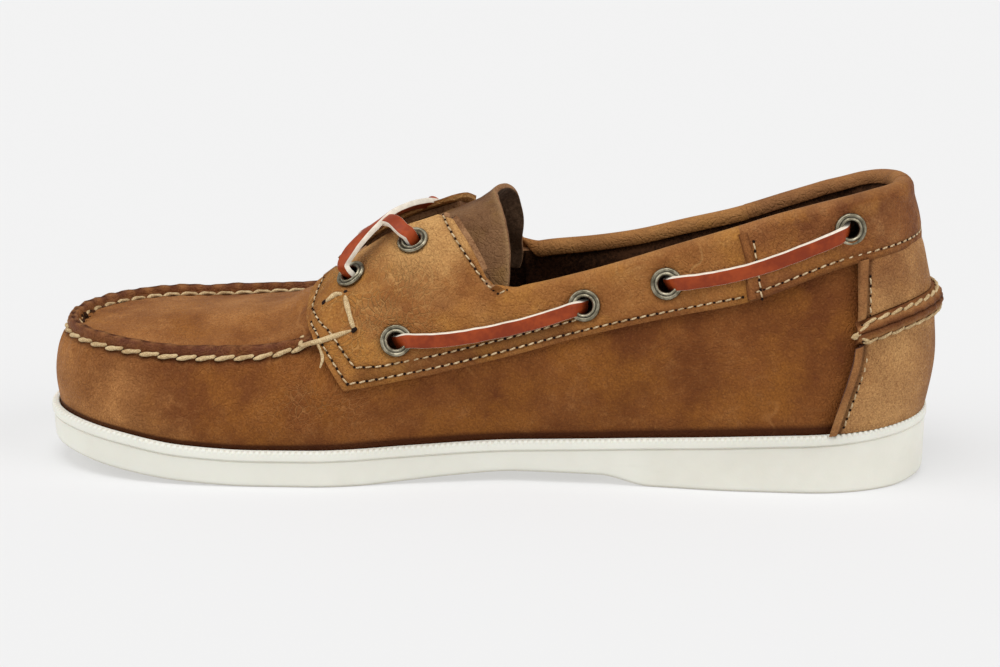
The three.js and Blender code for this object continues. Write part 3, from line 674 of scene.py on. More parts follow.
class Bench:
    """A material's node tree and the ways to add to it."""

    def __init__(self, name: str) -> None:
        """Starts an empty material with one shader."""
        self.material = bpy.data.materials.new(name)
        self.material.use_nodes = True
        self.tree = self.material.node_tree
        self.tree.nodes.clear()
        self.output = self.tree.nodes.new("ShaderNodeOutputMaterial")
        self.shader = self.tree.nodes.new("ShaderNodeBsdfPrincipled")
        self.tree.links.new(self.shader.outputs[0], self.output.inputs[0])
        self.place = self.node("ShaderNodeTexCoord", {}, {}).outputs["Object"]

    def put(self, target: bpy.types.NodeSocket, value: object) -> None:
        """Links or sets one input."""
        if isinstance(value, Wire):
            value = value.socket
        if isinstance(value, bpy.types.NodeSocket):
            self.tree.links.new(value, target)
        elif isinstance(value, tuple) and len(value) == 3 and target.type == "RGBA":
            target.default_value = (*value, 1.0)
        else:
            target.default_value = value

    def node(self, kind: str, settings: dict[str, object], inputs: dict[object, object]) -> bpy.types.Node:
        """Adds a node.

        Args:
            kind: the node's type.
            settings: its settings, set before its sockets.
            inputs: values or links, by socket name or number.
        """
        made = self.tree.nodes.new(kind)
        for key, value in settings.items():
            setattr(made, key, value)
        for key, value in inputs.items():
            self.put(made.inputs[key], value)
        return made

    def squeezed(self, scale: tuple[float, float, float]) -> bpy.types.NodeSocket:
        """Returns object coordinates stretched along the axes."""
        node = self.node("ShaderNodeMapping", {}, {"Vector": self.place, "Scale": scale})
        return node.outputs[0]

    def noise(self, scale: float, detail: float = 3.0, rough: float = 0.55, place: object = None) -> Wire:
        """Returns cloudy noise, 0 to 1, with a scale in features per metre."""
        inputs = {"Vector": place or self.place, "Scale": scale, "Detail": detail, "Roughness": rough}
        return Wire(self, self.node("ShaderNodeTexNoise", {}, inputs).outputs[0])

    def cells(self, scale: float, feature: str = "F1", place: object = None) -> Wire:
        """Returns the distance within cells."""
        inputs = {"Vector": place or self.place, "Scale": scale}
        return Wire(self, self.node("ShaderNodeTexVoronoi", {"feature": feature}, inputs).outputs[0])

    def mask(self, name: str) -> Wire:
        """Returns an attribute of the mesh."""
        node = self.node("ShaderNodeAttribute", {"attribute_name": name}, {})
        return Wire(self, node.outputs["Fac"])

    def mix(self, factor: object, a: object, b: object) -> bpy.types.NodeSocket:
        """Returns a colour between two."""
        node = self.node("ShaderNodeMix", {"data_type": "RGBA"}, {0: factor, 6: a, 7: b})
        return node.outputs[2]

    def bump(self, height: Wire, depth: float, strength: float = 1.0) -> None:
        """Drives the shader's normal from a height in 0 to 1 over a depth in metres."""
        node = self.node("ShaderNodeBump", {}, {"Strength": strength, "Distance": depth, "Height": height})
        self.tree.links.new(node.outputs[0], self.shader.inputs["Normal"])

    def shade(self, **sockets: object) -> bpy.types.Material:
        """Sets the shader's sockets, named with underscores, and returns the material."""
        for name, value in sockets.items():
            self.put(self.shader.inputs[name.replace("_", " ").title().replace("Ior", "IOR")], value)
        return self.material


@dataclass(frozen=True)
class OiledLeather:
    """Oiled nubuck: patches of colour where the oil has moved, fine pores and scuffs, with painted shade and
    painted highlight taken from the mesh's masks.
    """

    name: str
    deep: Colour
    body: Colour
    light: Colour
    patch: float = 22.0
    shift: tuple[float, float, float] = (0.0, 0.0, 0.0)
    pores: float = 0.00013
    roughness: float = 0.6
    gloss: float = 0.11

    def build(self) -> bpy.types.Material:
        """Returns the material."""
        b = Bench(self.name)
        place = b.node("ShaderNodeMapping", {}, {"Vector": b.place, "Location": self.shift}).outputs[0]
        cloud = b.noise(self.patch, 4.0, 0.55, place)
        drift = b.noise(self.patch * 3.3, 5.0, 0.62, place)
        mottle = b.noise(self.patch * 15, 5.0, 0.65, place)
        speck = b.noise(1900.0, 3.0, 0.6, place)
        ochre: Colour = (self.body[0] * 1.22, self.body[1] * 1.3, self.body[2] * 0.95)
        plum: Colour = (self.deep[0] * 0.72, self.deep[1] * 0.55, self.deep[2] * 0.85)
        hue = b.mix((cloud * 0.55 + drift * 0.45).between(0.36, 0.6), self.deep, self.body)
        aside = b.node("ShaderNodeMapping", {}, {"Vector": place, "Location": (0.4, 0.1, 0.7)}).outputs[0]
        pushed = self._scuffed(b, place)
        warm = b.noise(self.patch * 1.4, 4.0, 0.6, aside)
        hue = b.mix(warm.between(0.48, 0.66) * 0.8, hue, ochre)
        oiled = (drift * 0.6 + mottle * 0.4).between(0.44, 0.3) * 0.5
        hue = b.mix(oiled * (1 - warm.between(0.5, 0.62)), hue, plum)
        # The "pale" attribute lightens towards the light colour: mostly the leather's own lighter patches,
        # partly painted highlight on the saddle's crest, the toe and the plug.
        pale = b.mask("pale") + (drift * 0.5 + mottle * 0.5).between(0.45, 0.7) * 0.38 - 0.06
        hue = b.mix(pale.between(0.0, 1.0), hue, self.light)
        hue = b.mix(b.mask("plum") * (mottle.between(0.3, 0.62) * 0.5 + 0.5), hue, (0.17, 0.058, 0.038))
        hue = b.mix((speck * 0.55 + mottle * 0.45).between(0.44, 0.66) * 0.55, hue, self.deep)
        grain = b.noise(1500.0, 3.0, 0.6, place)
        shadow: Colour = (self.deep[0] * 0.75, self.deep[1] * 0.75, self.deep[2] * 0.75)
        hue = b.mix(grain.between(0.4, 0.62) * 0.26, hue, shadow)
        hue = b.mix(grain.between(0.46, 0.3) * 0.1, hue, self.light)
        scratch = b.cells(17.0, "DISTANCE_TO_EDGE", pushed)
        scuff = (1 - scratch.between(0.0, 0.012)) * b.noise(31.0, 2.0, 0.5, place).between(0.56, 0.7)
        hue = b.mix(scuff * 0.28, hue, self.light)
        # Painted shade: the "seam" attribute darkens seams, grooves, gaps, the rolls' inner sides and the
        # tongue's front towards this dark colour.
        dark: Colour = (self.deep[0] * 0.3, self.deep[1] * 0.22, self.deep[2] * 0.2)
        hue = b.mix(b.mask("seam") * 0.9, hue, dark)
        # Pale edges and creases are wear; the lit tops of the collar rolls are painted highlight.
        hue = b.mix(b.mask("worn") * 0.75, hue, self.light)
        pore = b.cells(1150.0, "F1", place)
        wrinkle = b.cells(420.0, "DISTANCE_TO_EDGE", pushed)
        fine = b.cells(430.0, "DISTANCE_TO_EDGE", pushed)
        line = (1 - fine.between(0.0, 0.12)) * b.mask("crease") * drift.between(0.36, 0.56)
        hue = b.mix(line * 0.34, hue, self.light)
        height = pore * 0.45 + speck * 0.55 + wrinkle.between(0.0, 0.12) * 0.3 + mottle * 0.6
        b.bump(height - scuff * 0.25 - line * 0.9, self.pores * 3.2)
        rough = mottle * 0.22 + cloud * 0.12 + (self.roughness - 0.15)
        return b.shade(base_color=hue, roughness=rough, specular_ior_level=self.gloss)

    def _scuffed(self, b: Bench, place: object) -> bpy.types.NodeSocket:
        """Returns coordinates pushed about by noise."""
        wobble = b.node("ShaderNodeTexNoise", {}, {"Vector": place, "Scale": 30.0, "Detail": 3.0}).outputs[1]
        scaled = b.node("ShaderNodeVectorMath", {"operation": "SCALE"}, {0: wobble, 3: 0.03}).outputs[0]
        return b.node("ShaderNodeVectorMath", {"operation": "ADD"}, {0: place, 1: scaled}).outputs[0]


@dataclass(frozen=True)
class Suede:
    """Napped leather: a flesh side, a lining or a raw cut edge."""

    name: str
    deep: Colour
    body: Colour
    nap: float = 900.0
    depth: float = 0.0005
    bloom: float = 0.03

    def build(self) -> bpy.types.Material:
        """Returns the material."""
        b = Bench(self.name)
        fibre = b.noise(self.nap, 5.0, 0.7)
        cloud = b.noise(self.nap / 14, 3.0, 0.6)
        hue = b.mix((fibre * 0.6 + cloud * 0.4).between(0.38, 0.62), self.deep, self.body)
        b.bump(fibre * 0.7 + b.noise(self.nap / 4, 3.0) * 0.5, self.depth)
        return b.shade(base_color=hue, roughness=0.95, specular_ior_level=0.08, sheen_weight=self.bloom)


@dataclass(frozen=True)
class SoleRubber:
    """Off-white rubber, faintly soiled, with painted shade in its grooves and gaps."""

    name: str
    body: Colour
    dirt: Colour

    def build(self) -> bpy.types.Material:
        """Returns the material."""
        b = Bench(self.name)
        cloud = b.noise(24.0, 4.0, 0.6)
        fine = b.noise(700.0, 3.0, 0.6)
        hue = b.mix(cloud.between(0.35, 0.75) * 0.3, self.body, self.dirt)
        # Painted shade: the "seam" attribute darkens the grooves, the rim's gaps and a line along the bottom
        # towards a deeper grey.
        hue = b.mix(b.mask("seam") * 0.8, hue, (self.dirt[0] * 0.6, self.dirt[1] * 0.56, self.dirt[2] * 0.5))
        smear = b.noise(90.0, 4.0, 0.7, b.squeezed((0.25, 1.0, 1.0))).between(0.6, 0.8)
        hue = b.mix(smear * 0.18, hue, self.dirt)
        b.bump(fine * 0.6 + cloud * 0.4, 0.00008)
        rough = fine * 0.12 + 0.42
        return b.shade(base_color=hue, roughness=rough, specular_ior_level=0.4, subsurface_weight=0.05)


@dataclass(frozen=True)
class Rawhide:
    """The lace: smooth waxed leather with a pale raw edge."""

    name: str
    face: Colour
    dark: Colour
    edge: Colour

    def build(self) -> bpy.types.Material:
        """Returns the material."""
        b = Bench(self.name)
        grain = b.noise(500.0, 4.0, 0.6)
        cloud = b.noise(120.0, 3.0, 0.5)
        hue = b.mix((cloud * 0.6 + grain * 0.4).between(0.38, 0.64), self.dark, self.face)
        hue = b.mix(b.mask("worn"), hue, b.mix(grain.between(0.35, 0.65), self.edge, (0.74, 0.67, 0.56)))
        b.bump(grain * 0.6 + b.cells(900.0) * 0.3, 0.00008)
        return b.shade(base_color=hue, roughness=grain * 0.15 + 0.42, specular_ior_level=0.2)


@dataclass(frozen=True)
class AgedMetal:
    """Antique nickel-brass eyelets."""

    name: str
    bright: Colour
    dull: Colour

    def build(self) -> bpy.types.Material:
        """Returns the material."""
        b = Bench(self.name)
        stain = b.noise(420.0, 4.0, 0.65)
        fine = b.noise(2600.0, 2.0)
        hue = b.mix(stain.between(0.35, 0.65), self.dull, self.bright)
        # Painted shade: the "seam" attribute darkens the eyelet's barrel and the groove between its rings.
        hue = b.mix(b.mask("seam"), hue, (0.03, 0.025, 0.02))
        b.bump(fine * 0.5 + stain * 0.5, 0.00005)
        return b.shade(base_color=hue, metallic=0.92, roughness=stain * 0.2 + 0.26)


@dataclass(frozen=True)
class WaxedThread:
    """Sewing thread with a twisted lay."""

    name: str
    body: Colour
    dark: Colour

    def build(self) -> bpy.types.Material:
        """Returns the material."""
        b = Bench(self.name)
        fibre = b.noise(2400.0, 3.0, 0.6)
        cloud = b.noise(160.0, 2.0)
        hue = b.mix((fibre * 0.65 + cloud * 0.35).between(0.4, 0.62), self.dark, self.body)
        b.bump(fibre, 0.00012)
        return b.shade(base_color=hue, roughness=fibre * 0.2 + 0.6, specular_ior_level=0.25)


@dataclass(frozen=True)
class Finishes:
    """Every material of the shoe, made once."""

    upper: bpy.types.Material
    saddle: bpy.types.Material
    collar: bpy.types.Material
    counter: bpy.types.Material
    tongue: bpy.types.Material
    seam_edge: bpy.types.Material
    raw_edge: bpy.types.Material
    flesh: bpy.types.Material
    lining: bpy.types.Material
    insole: bpy.types.Material
    rubber: bpy.types.Material
    lace: bpy.types.Material
    metal: bpy.types.Material
    thread: bpy.types.Material
    cord: bpy.types.Material
    holes: bpy.types.Material

    @classmethod
    def make(cls) -> "Finishes":
        """Returns the full set."""
        return cls(
            upper=OiledLeather(
                "upper_leather", (0.145, 0.042, 0.009), (0.245, 0.082, 0.018), (0.56, 0.26, 0.085)
            ).build(),
            saddle=OiledLeather(
                "saddle_leather", (0.2, 0.066, 0.016), (0.35, 0.142, 0.037), (0.64, 0.36, 0.13),
                patch=26.0, shift=(0.31, 0.2, 0.1),
            ).build(),
            collar=OiledLeather(
                "collar_leather", (0.15, 0.045, 0.013), (0.29, 0.108, 0.031), (0.58, 0.31, 0.12),
                patch=30.0, shift=(0.2, 0.7, 0.5),
            ).build(),
            counter=OiledLeather(
                "counter_leather", (0.16, 0.05, 0.015), (0.3, 0.118, 0.036), (0.62, 0.34, 0.13),
                patch=30.0, shift=(0.7, 0.4, 0.3),
            ).build(),
            tongue=OiledLeather(
                "tongue_leather", (0.13, 0.058, 0.024), (0.22, 0.112, 0.05), (0.4, 0.25, 0.13),
                patch=34.0, shift=(0.5, 0.9, 0.2),
            ).build(),
            seam_edge=Suede("seam_edge", (0.05, 0.018, 0.012), (0.17, 0.075, 0.045), 1300.0, 0.0004).build(),
            raw_edge=Suede("raw_edge", (0.16, 0.07, 0.03), (0.34, 0.18, 0.085), 1500.0, 0.0003).build(),
            flesh=Suede("flesh_side", (0.09, 0.05, 0.028), (0.2, 0.12, 0.07), 700.0).build(),
            lining=Suede("lining_suede", (0.022, 0.009, 0.004), (0.09, 0.037, 0.016), 800.0, 0.0007).build(),
            insole=OiledLeather(
                "insole_leather", (0.16, 0.09, 0.05), (0.33, 0.2, 0.11), (0.45, 0.3, 0.18),
                patch=30.0, shift=(0.1, 0.6, 0.7), pores=0.0001, roughness=0.6,
            ).build(),
            rubber=SoleRubber("sole_rubber", (0.86, 0.835, 0.745), (0.6, 0.56, 0.46)).build(),
            lace=Rawhide(
                "lace_leather", (0.37, 0.06, 0.0125), (0.24, 0.034, 0.008), (0.88, 0.8, 0.68)
            ).build(),
            metal=AgedMetal("eyelet_metal", (0.4, 0.36, 0.26), (0.15, 0.13, 0.085)).build(),
            thread=WaxedThread("stitch_thread", (0.72, 0.56, 0.35), (0.36, 0.24, 0.12)).build(),
            cord=WaxedThread("handsewn_thread", (0.68, 0.52, 0.29), (0.4, 0.26, 0.12)).build(),
            # Near-black balls set in the needle holes as painted shade.
            holes=Suede("needle_hole_shade", (0.008, 0.004, 0.003), (0.02, 0.01, 0.007), 900.0, 0.0001).build(),
        )


# ---------------------------------------------------------------- sewing
class Row(NamedTuple):
    """A line of sewing: where it runs and which way the leather faces."""

    points: Array
    normals: Array

    def shifted(self, lift: float) -> "Row":
        """Returns the row moved outwards."""
        return Row(self.points + self.normals * lift, self.normals)

    def length(self) -> float:
        """Returns how long the row is."""
        return float(arc_lengths(self.points)[-1])

    def sample(self, at: Array | float) -> tuple[Array, Array, Array]:
        """Returns places, normals and directions at distances along the row."""
        length = arc_lengths(self.points)
        tangents = unit(np.gradient(self.points, axis=0))
        here, face, run = (
            np.stack([np.interp(at, length, values[:, k]) for k in range(3)], -1)
            for values in (self.points, self.normals, tangents)
        )
        return here, face, run


def ball(segments: int, rings: int) -> tuple[bpy.types.Object, Array]:
    """Makes a ball of radius 1 to copy, and returns it with its places."""
    deselect()
    bpy.ops.mesh.primitive_uv_sphere_add(segments=segments, ring_count=rings, radius=1)
    pattern = bpy.context.object
    return pattern, np.array([v.co[:] for v in pattern.data.vertices])


def row_on(side: Side, knots: Sequence[tuple[float, float]], lift: float, curved: bool = True) -> Row:
    """Returns a row on one side, through places seen from the side.

    Args:
        side: which side.
        knots: station and height of each place.
        lift: how far off the last.
        curved: whether the row bends smoothly through the places.
    """
    path = spline(knots, 160) if curved else resample(np.asarray(knots, float), 200)
    spots = LAST.at(path[:, 0], path[:, 1], side)
    return Row(spots.lifted(lift), spots.normals)


@dataclass(frozen=True)
class Stitch:
    """One kind of stitch, in millimetres."""

    pitch: float
    gap: float
    radius: float
    lift: float
    ply: float = 0.0
    slant: float = 0.0
    segments: int = 6
    rings: int = 6

    def count(self, row: Row) -> int:
        """Returns how many stitches a row takes."""
        return max(1, int(row.length() // self.pitch))

    def run(
        self, names: tuple[str, str], rows: Sequence[Row], finishes: Finishes, size: float, sink: float = 0.0
    ) -> None:
        """Sews rows and sets dark balls between their stitches as painted shade for the needle holes.

        Args:
            names: what the thread and the holes are called.
            rows: where the stitches run.
            finishes: the shoe's materials.
            size: the holes' radius.
            sink: how far under the thread the holes lie.
        """
        self.sew(names[0], rows, finishes.cord if self.ply else finishes.thread)
        self.pierce(names[1], [row.shifted(-sink) for row in rows], finishes.holes, size)

    def sew(self, name: str, rows: Sequence[Row], thread: bpy.types.Material) -> bpy.types.Object:
        """Sews every row as one piece.

        Args:
            name: the piece's name.
            rows: where the stitches run.
            thread: the thread's material.

        Returns:
            The finished piece.
        """
        pattern, shape = ball(self.segments, self.rings)
        along = (shape[:, 2] + 1) / 2
        round_off = np.sqrt(np.maximum(0, 1 - np.abs(shape[:, 2]) ** 5))
        angle = np.arctan2(shape[:, 1], shape[:, 0])
        girth = np.hypot(shape[:, 0], shape[:, 1])
        girth = np.where(girth > 1e-4, round_off, 0.0)
        girth = girth * (1 + self.ply * np.cos(2 * (angle - 5.2 * along)))
        across, up = girth * np.cos(angle), girth * np.sin(angle)
        places = []
        for row in rows:
            for i in range(self.count(row)):
                at = i * self.pitch + self.gap / 2 + along * (self.pitch - self.gap)
                here, face, run = row.sample(at)
                beside = unit(np.cross(face, run))
                bow = self.lift * (1 - np.abs(2 * along - 1) ** 3) - self.lift * 0.55
                sway = across * self.radius + self.slant * (along - 0.5)
                places.append(here + beside * sway[:, None] + face * (up * self.radius * 0.85 + bow)[:, None])
        return copies(name, pattern, places).dress(thread).smooth(60).finish(THREAD_SLOT)

    def pierce(
        self, name: str, rows: Sequence[Row], dark: bpy.types.Material, size: float
    ) -> bpy.types.Object:
        """Makes the needle holes between stitches as one piece of dark balls, painted shade for the holes."""
        pattern, shape = ball(7, 4)
        places = []
        for row in rows:
            for i in range(self.count(row) + 1):
                here, face, run = row.sample(i * self.pitch)
                beside = unit(np.cross(face, run))
                turned = shape[:, :1] * run + shape[:, 1:2] * beside + shape[:, 2:] * face * 0.35
                places.append(here + turned * size)
        return copies(name, pattern, places).dress(dark).smooth(60).finish(THREAD_SLOT)


MACHINE = Stitch(pitch=3.1, gap=0.95, radius=0.3, lift=0.32, slant=0.25)
HAND = Stitch(pitch=6.3, gap=-0.5, radius=0.72, lift=0.75, ply=0.16, slant=1.15, segments=12, rings=16)
FINE_HAND = Stitch(pitch=5.2, gap=-0.3, radius=0.55, lift=0.6, ply=0.15, slant=0.9, segments=10, rings=12)


def distance_to(x: Array, z: Array, path: Array) -> Array:
    """Returns how far each place is from a path, both seen from the side."""
    flat_x, flat_z = x.ravel(), z.ravel()
    result = np.empty_like(flat_x)
    for start in range(0, len(flat_x), 4000):
        part = slice(start, start + 4000)
        away = np.hypot(flat_x[part, None] - path[None, :, 0], flat_z[part, None] - path[None, :, 1])
        result[part] = away.min(1)
    return result.reshape(x.shape)


# ---------------------------------------------------------------- sole
@dataclass
class Outsole:
    """The moulded rubber sole: sidewall, toothed rim, footbed and siped tread."""

    finishes: Finishes
    teeth: int = 350
    steps_per_tooth: int = 5

    def perimeter(self, count: int) -> tuple[Array, Array]:
        """Returns turns and sides at even distances round the sole."""
        turn = np.concatenate([np.linspace(math.pi, 0, 1200), np.linspace(0, math.pi, 1200)])
        side = np.concatenate([np.ones(1200), -np.ones(1200)])
        length = arc_lengths(LAST.outline(turn, side, 0.0, 0.0))
        signed = np.where(side > 0, -turn, turn)
        even = np.interp(np.linspace(0, length[-1], count), length, signed)
        return np.abs(even), np.where(even < 0, 1.0, -1.0)

    def sidewall(self) -> bpy.types.Object:
        """Builds the wall, the groove, the rim and the footbed's edge."""
        turn, side = self.perimeter(self.teeth * self.steps_per_tooth + 1)
        x = LAST.station(turn)
        tread, rim = LAST.tread(x), LAST.rim(x)
        tooth = (np.arange(len(turn)) % self.steps_per_tooth < 2).astype(float)
        body = rim - 3.9 - (tread + 1.7)
        # The third value of each row is painted shade: a shadow line along the bottom, shade in the groove
        # and in the notches of the rim, and dark inside the rim.
        rows: list[tuple[Array | float, Array, float]] = [
            (9.0, tread + 0.9, 0),
            (3.2, tread + 0.9, 0),
            (2.5, tread + 0.05, 0.9),
            (1.9, tread + 0.0, 0.9),
            (1.25, tread + 0.35, 0.6),
            (0.95, tread + 1.0, 0),
            (0.9, tread + 1.7, 0),
        ]
        rows += [(0.9 - 0.4 * k / 6, tread + 1.7 + body * k / 6, 0) for k in range(1, 7)]
        rows += [
            (0.55, rim - 3.85, 0.1),
            (0.75, rim - 3.65, 0.18),
            (0.75, rim - 3.45, 0.18),
            (0.25, rim - 3.2, 0.05),
            (0.02, rim - 2.9, 0),
            (0.0, rim - 1.5, 0),
            (0.02 + 0.18 * tooth, rim - 0.95 - 0.05 * tooth, 0.1),
            (0.06 + 0.42 * tooth, rim - 0.5 - 0.05 * tooth, 0.25 * tooth),
            (0.3 + 0.34 * tooth, rim - 0.12 - 0.3 * tooth, 0.35 * tooth),
            (0.75 + 0.1 * tooth, rim - 0.3 * tooth, 0.35 * tooth),
            (1.5, rim - 0.25 * tooth, 0.3 * tooth),
            (2.1, rim - 0.02, 0.1),
            (2.45, rim - 0.3, 0.8),
            (2.5, rim - 3.2, 1),
            (9.0, rim - 3.2, 1),
        ]
        points = np.stack([LAST.outline(turn, side, inset, z) for inset, z, _ in rows])
        dirt = np.stack([np.broadcast_to(np.asarray(value, float), turn.shape) for _, _, value in rows])
        sheet = Sheet("sole_sidewall", points, None, {"seam": dirt})
        return sheet.dress(self.finishes.rubber).smooth(32).finish("sole_rubber", "outsole")

    def surface(
        self, name: str, inset: float, height: Callable[[Array, Array], Array], facing: float, count: int
    ) -> Sheet:
        """Lays a sheet right across the sole."""
        turn = np.linspace(0.03, math.pi - 0.03, count)[:, None]
        share = np.linspace(-1, 1, count // 5)[None, :]
        side = np.where(share >= 0, 1.0, -1.0)
        edge = LAST.outline(turn, side, inset, 0.0)
        middle = LAST.axis(LAST.station(turn))
        x = np.broadcast_to(edge[..., 0], (count, count // 5))
        y = middle + (edge[..., 1] - middle) * np.abs(share)
        z = height(x, y)
        outward = np.zeros((count, count // 5, 3)) + np.array([0, 0, facing])
        # Painted shade, deeper in the tread's slits.
        dirt = np.clip((z - LAST.tread(x)) * 1.2, 0, 1) if facing < 0 else np.zeros_like(z)
        return Sheet(name, np.stack([x, y, z], -1), outward, {"seam": dirt})

    def tread(self) -> bpy.types.Object:
        """Builds the underside: fine wavy slits between flat lands."""

        def height(x: Array, y: Array) -> Array:
            wave = x + 1.7 * np.sin(2 * math.pi * y / 11)
            slit = np.abs((wave / 4.2) % 1 - 0.5)
            breast = smooth(86, 90, x) * (1 - smooth(106, 110, x))
            return LAST.tread(x) + 0.85 * smooth(0.36, 0.43, slit) * (1 - breast)

        sheet = self.surface("sole_tread", 2.2, height, -1.0, 440)
        return sheet.thicken(1.2, 0.0).dress(self.finishes.rubber).smooth(40).finish("sole_rubber")

    def footbed(self) -> bpy.types.Object:
        """Builds the floor that the upper and insole stand on."""
        sheet = self.surface("sole_footbed", 2.6, lambda x, y: LAST.rim(x) - LAST.rim_depth, 1.0, 120)
        return sheet.thicken(3.0, 0.0).dress(self.finishes.rubber).smooth().finish("sole_rubber")

    def insole(self) -> bpy.types.Object:
        """Builds the insole, dished under the heel."""

        def height(x: Array, y: Array) -> Array:
            cup = 1.6 * smooth(0.35, 1.0, np.abs(y - LAST.axis(x)) / 32) * (1 - smooth(40, 110, x))
            return LAST.rim(x) - LAST.rim_depth + 3.4 + cup + 0.15 * lumps(np.stack([x, y, x * 0], -1), 30, 5)

        sheet = self.surface("footbed_insole", 5.6, height, 1.0, 200)
        sheet.dress(self.finishes.insole, self.finishes.raw_edge).thicken(2.6, 0.5, rim=1)
        return sheet.smooth().finish("insole_leather", "insole")

    def build(self) -> None:
        """Builds every part of the sole."""
        self.sidewall()
        self.tread()
        self.footbed()
        self.insole()


# ---------------------------------------------------------------- eyelets
@dataclass
class Eyelets:
    """Six metal eyelets on each side, with the holes that they sit in."""

    finishes: Finishes
    lift: float = 2.1
    band: tuple[tuple[str, float, float], ...] = (
        ("front", 171.2, 47.6),
        ("middle_front", 110.9, 59.4),
        ("middle_rear", 84.5, 67.2),
        ("rear", 27.4, 85.8),
        ("throat_lower", 187.0, 64.6),
        ("throat_upper", 167.6, 75.6),
    )

    def __post_init__(self) -> None:
        """Finds each eyelet's place."""
        self.places: dict[str, tuple[Array, Array]] = {}
        for side in Side:
            for name, x, z in self.band:
                spot = LAST.at(np.array([x]), np.array([z]), side)
                self.places[f"{side.label}_{name}"] = (spot.lifted(self.lift)[0], spot.normals[0])

    def build(self) -> None:
        """Builds an eyelet at each place."""
        shape = (
            (2.7, -3.6, 1.0),
            (2.7, 0.0, 0.95),
            (2.75, 0.45, 0.6),
            (2.95, 0.85, 0.2),
            (3.3, 1.05, 0.0),
            (3.65, 0.92, 0.25),
            (3.9, 0.62, 0.75),
            (4.15, 0.72, 0.45),
            (4.5, 1.0, 0.0),
            (4.85, 0.95, 0.0),
            (5.15, 0.55, 0.15),
            (5.25, 0.1, 0.5),
            (5.1, -0.1, 0.9),
            (3.0, -0.1, 1.0),
            (3.0, -3.6, 1.0),
            (2.7, -3.6, 1.0),
        )
        angle = np.linspace(0, 2 * math.pi, 49)
        for name, (centre, normal) in self.places.items():
            first = unit(np.cross(normal, np.array([0.0, 0.0, 1.0])))
            second = np.cross(normal, first)
            ring = first * np.cos(angle)[:, None] + second * np.sin(angle)[:, None]
            points = np.stack([centre + ring * r + normal * h for r, h, _ in shape])
            # Painted shade: dark in the barrel and in the groove between the rings.
            dark = np.array([d for _, _, d in shape])[:, None]
            sheet = Sheet(f"eyelet_ring_{name}", points, None, {"seam": dark})
            sheet.dress(self.finishes.metal).smooth(50).finish("eyelet_metal", f"eyelet_{name}")

    def punch(self, sheet: Sheet, radius: float = 3.7) -> Sheet:
        """Cuts the eyelets' holes through a sheet."""
        mesh = sheet.piece.data
        flat = np.empty(len(mesh.vertices) * 3, np.float32)
        mesh.vertices.foreach_get("co", flat)
        points = flat.reshape(-1, 3).astype(float)
        gone = np.zeros(len(points), bool)
        for centre, normal in self.places.values():
            away = points - to_frame(centre)
            along = away @ normal
            across = np.linalg.norm(away - along[:, None] * normal, axis=1)
            gone |= (across < radius * MM) & (along > -5 * MM) & (along < 4 * MM)
        if not gone.any():
            return sheet
        pick(sheet.piece)
        bpy.ops.object.mode_set(mode="EDIT")
        bpy.ops.mesh.select_mode(type="VERT")
        bpy.ops.mesh.select_all(action="DESELECT")
        bpy.ops.object.mode_set(mode="OBJECT")
        mesh.vertices.foreach_set("select", gone)
        bpy.ops.object.mode_set(mode="EDIT")
        bpy.ops.mesh.delete(type="VERT")
        bpy.ops.object.mode_set(mode="OBJECT")
        return sheet

    def dimple(self, points: Array) -> Array:
        """Returns how far the leather is pressed in near each eyelet."""
        total = np.zeros(points.shape[:-1])
        for centre, _ in self.places.values():
            away = np.linalg.norm(points - centre, axis=-1)
            total = total - 0.5 * np.exp(-((away / 5.4) ** 4)) + 0.22 * bell(away - 8.0, 2.0)
        return total


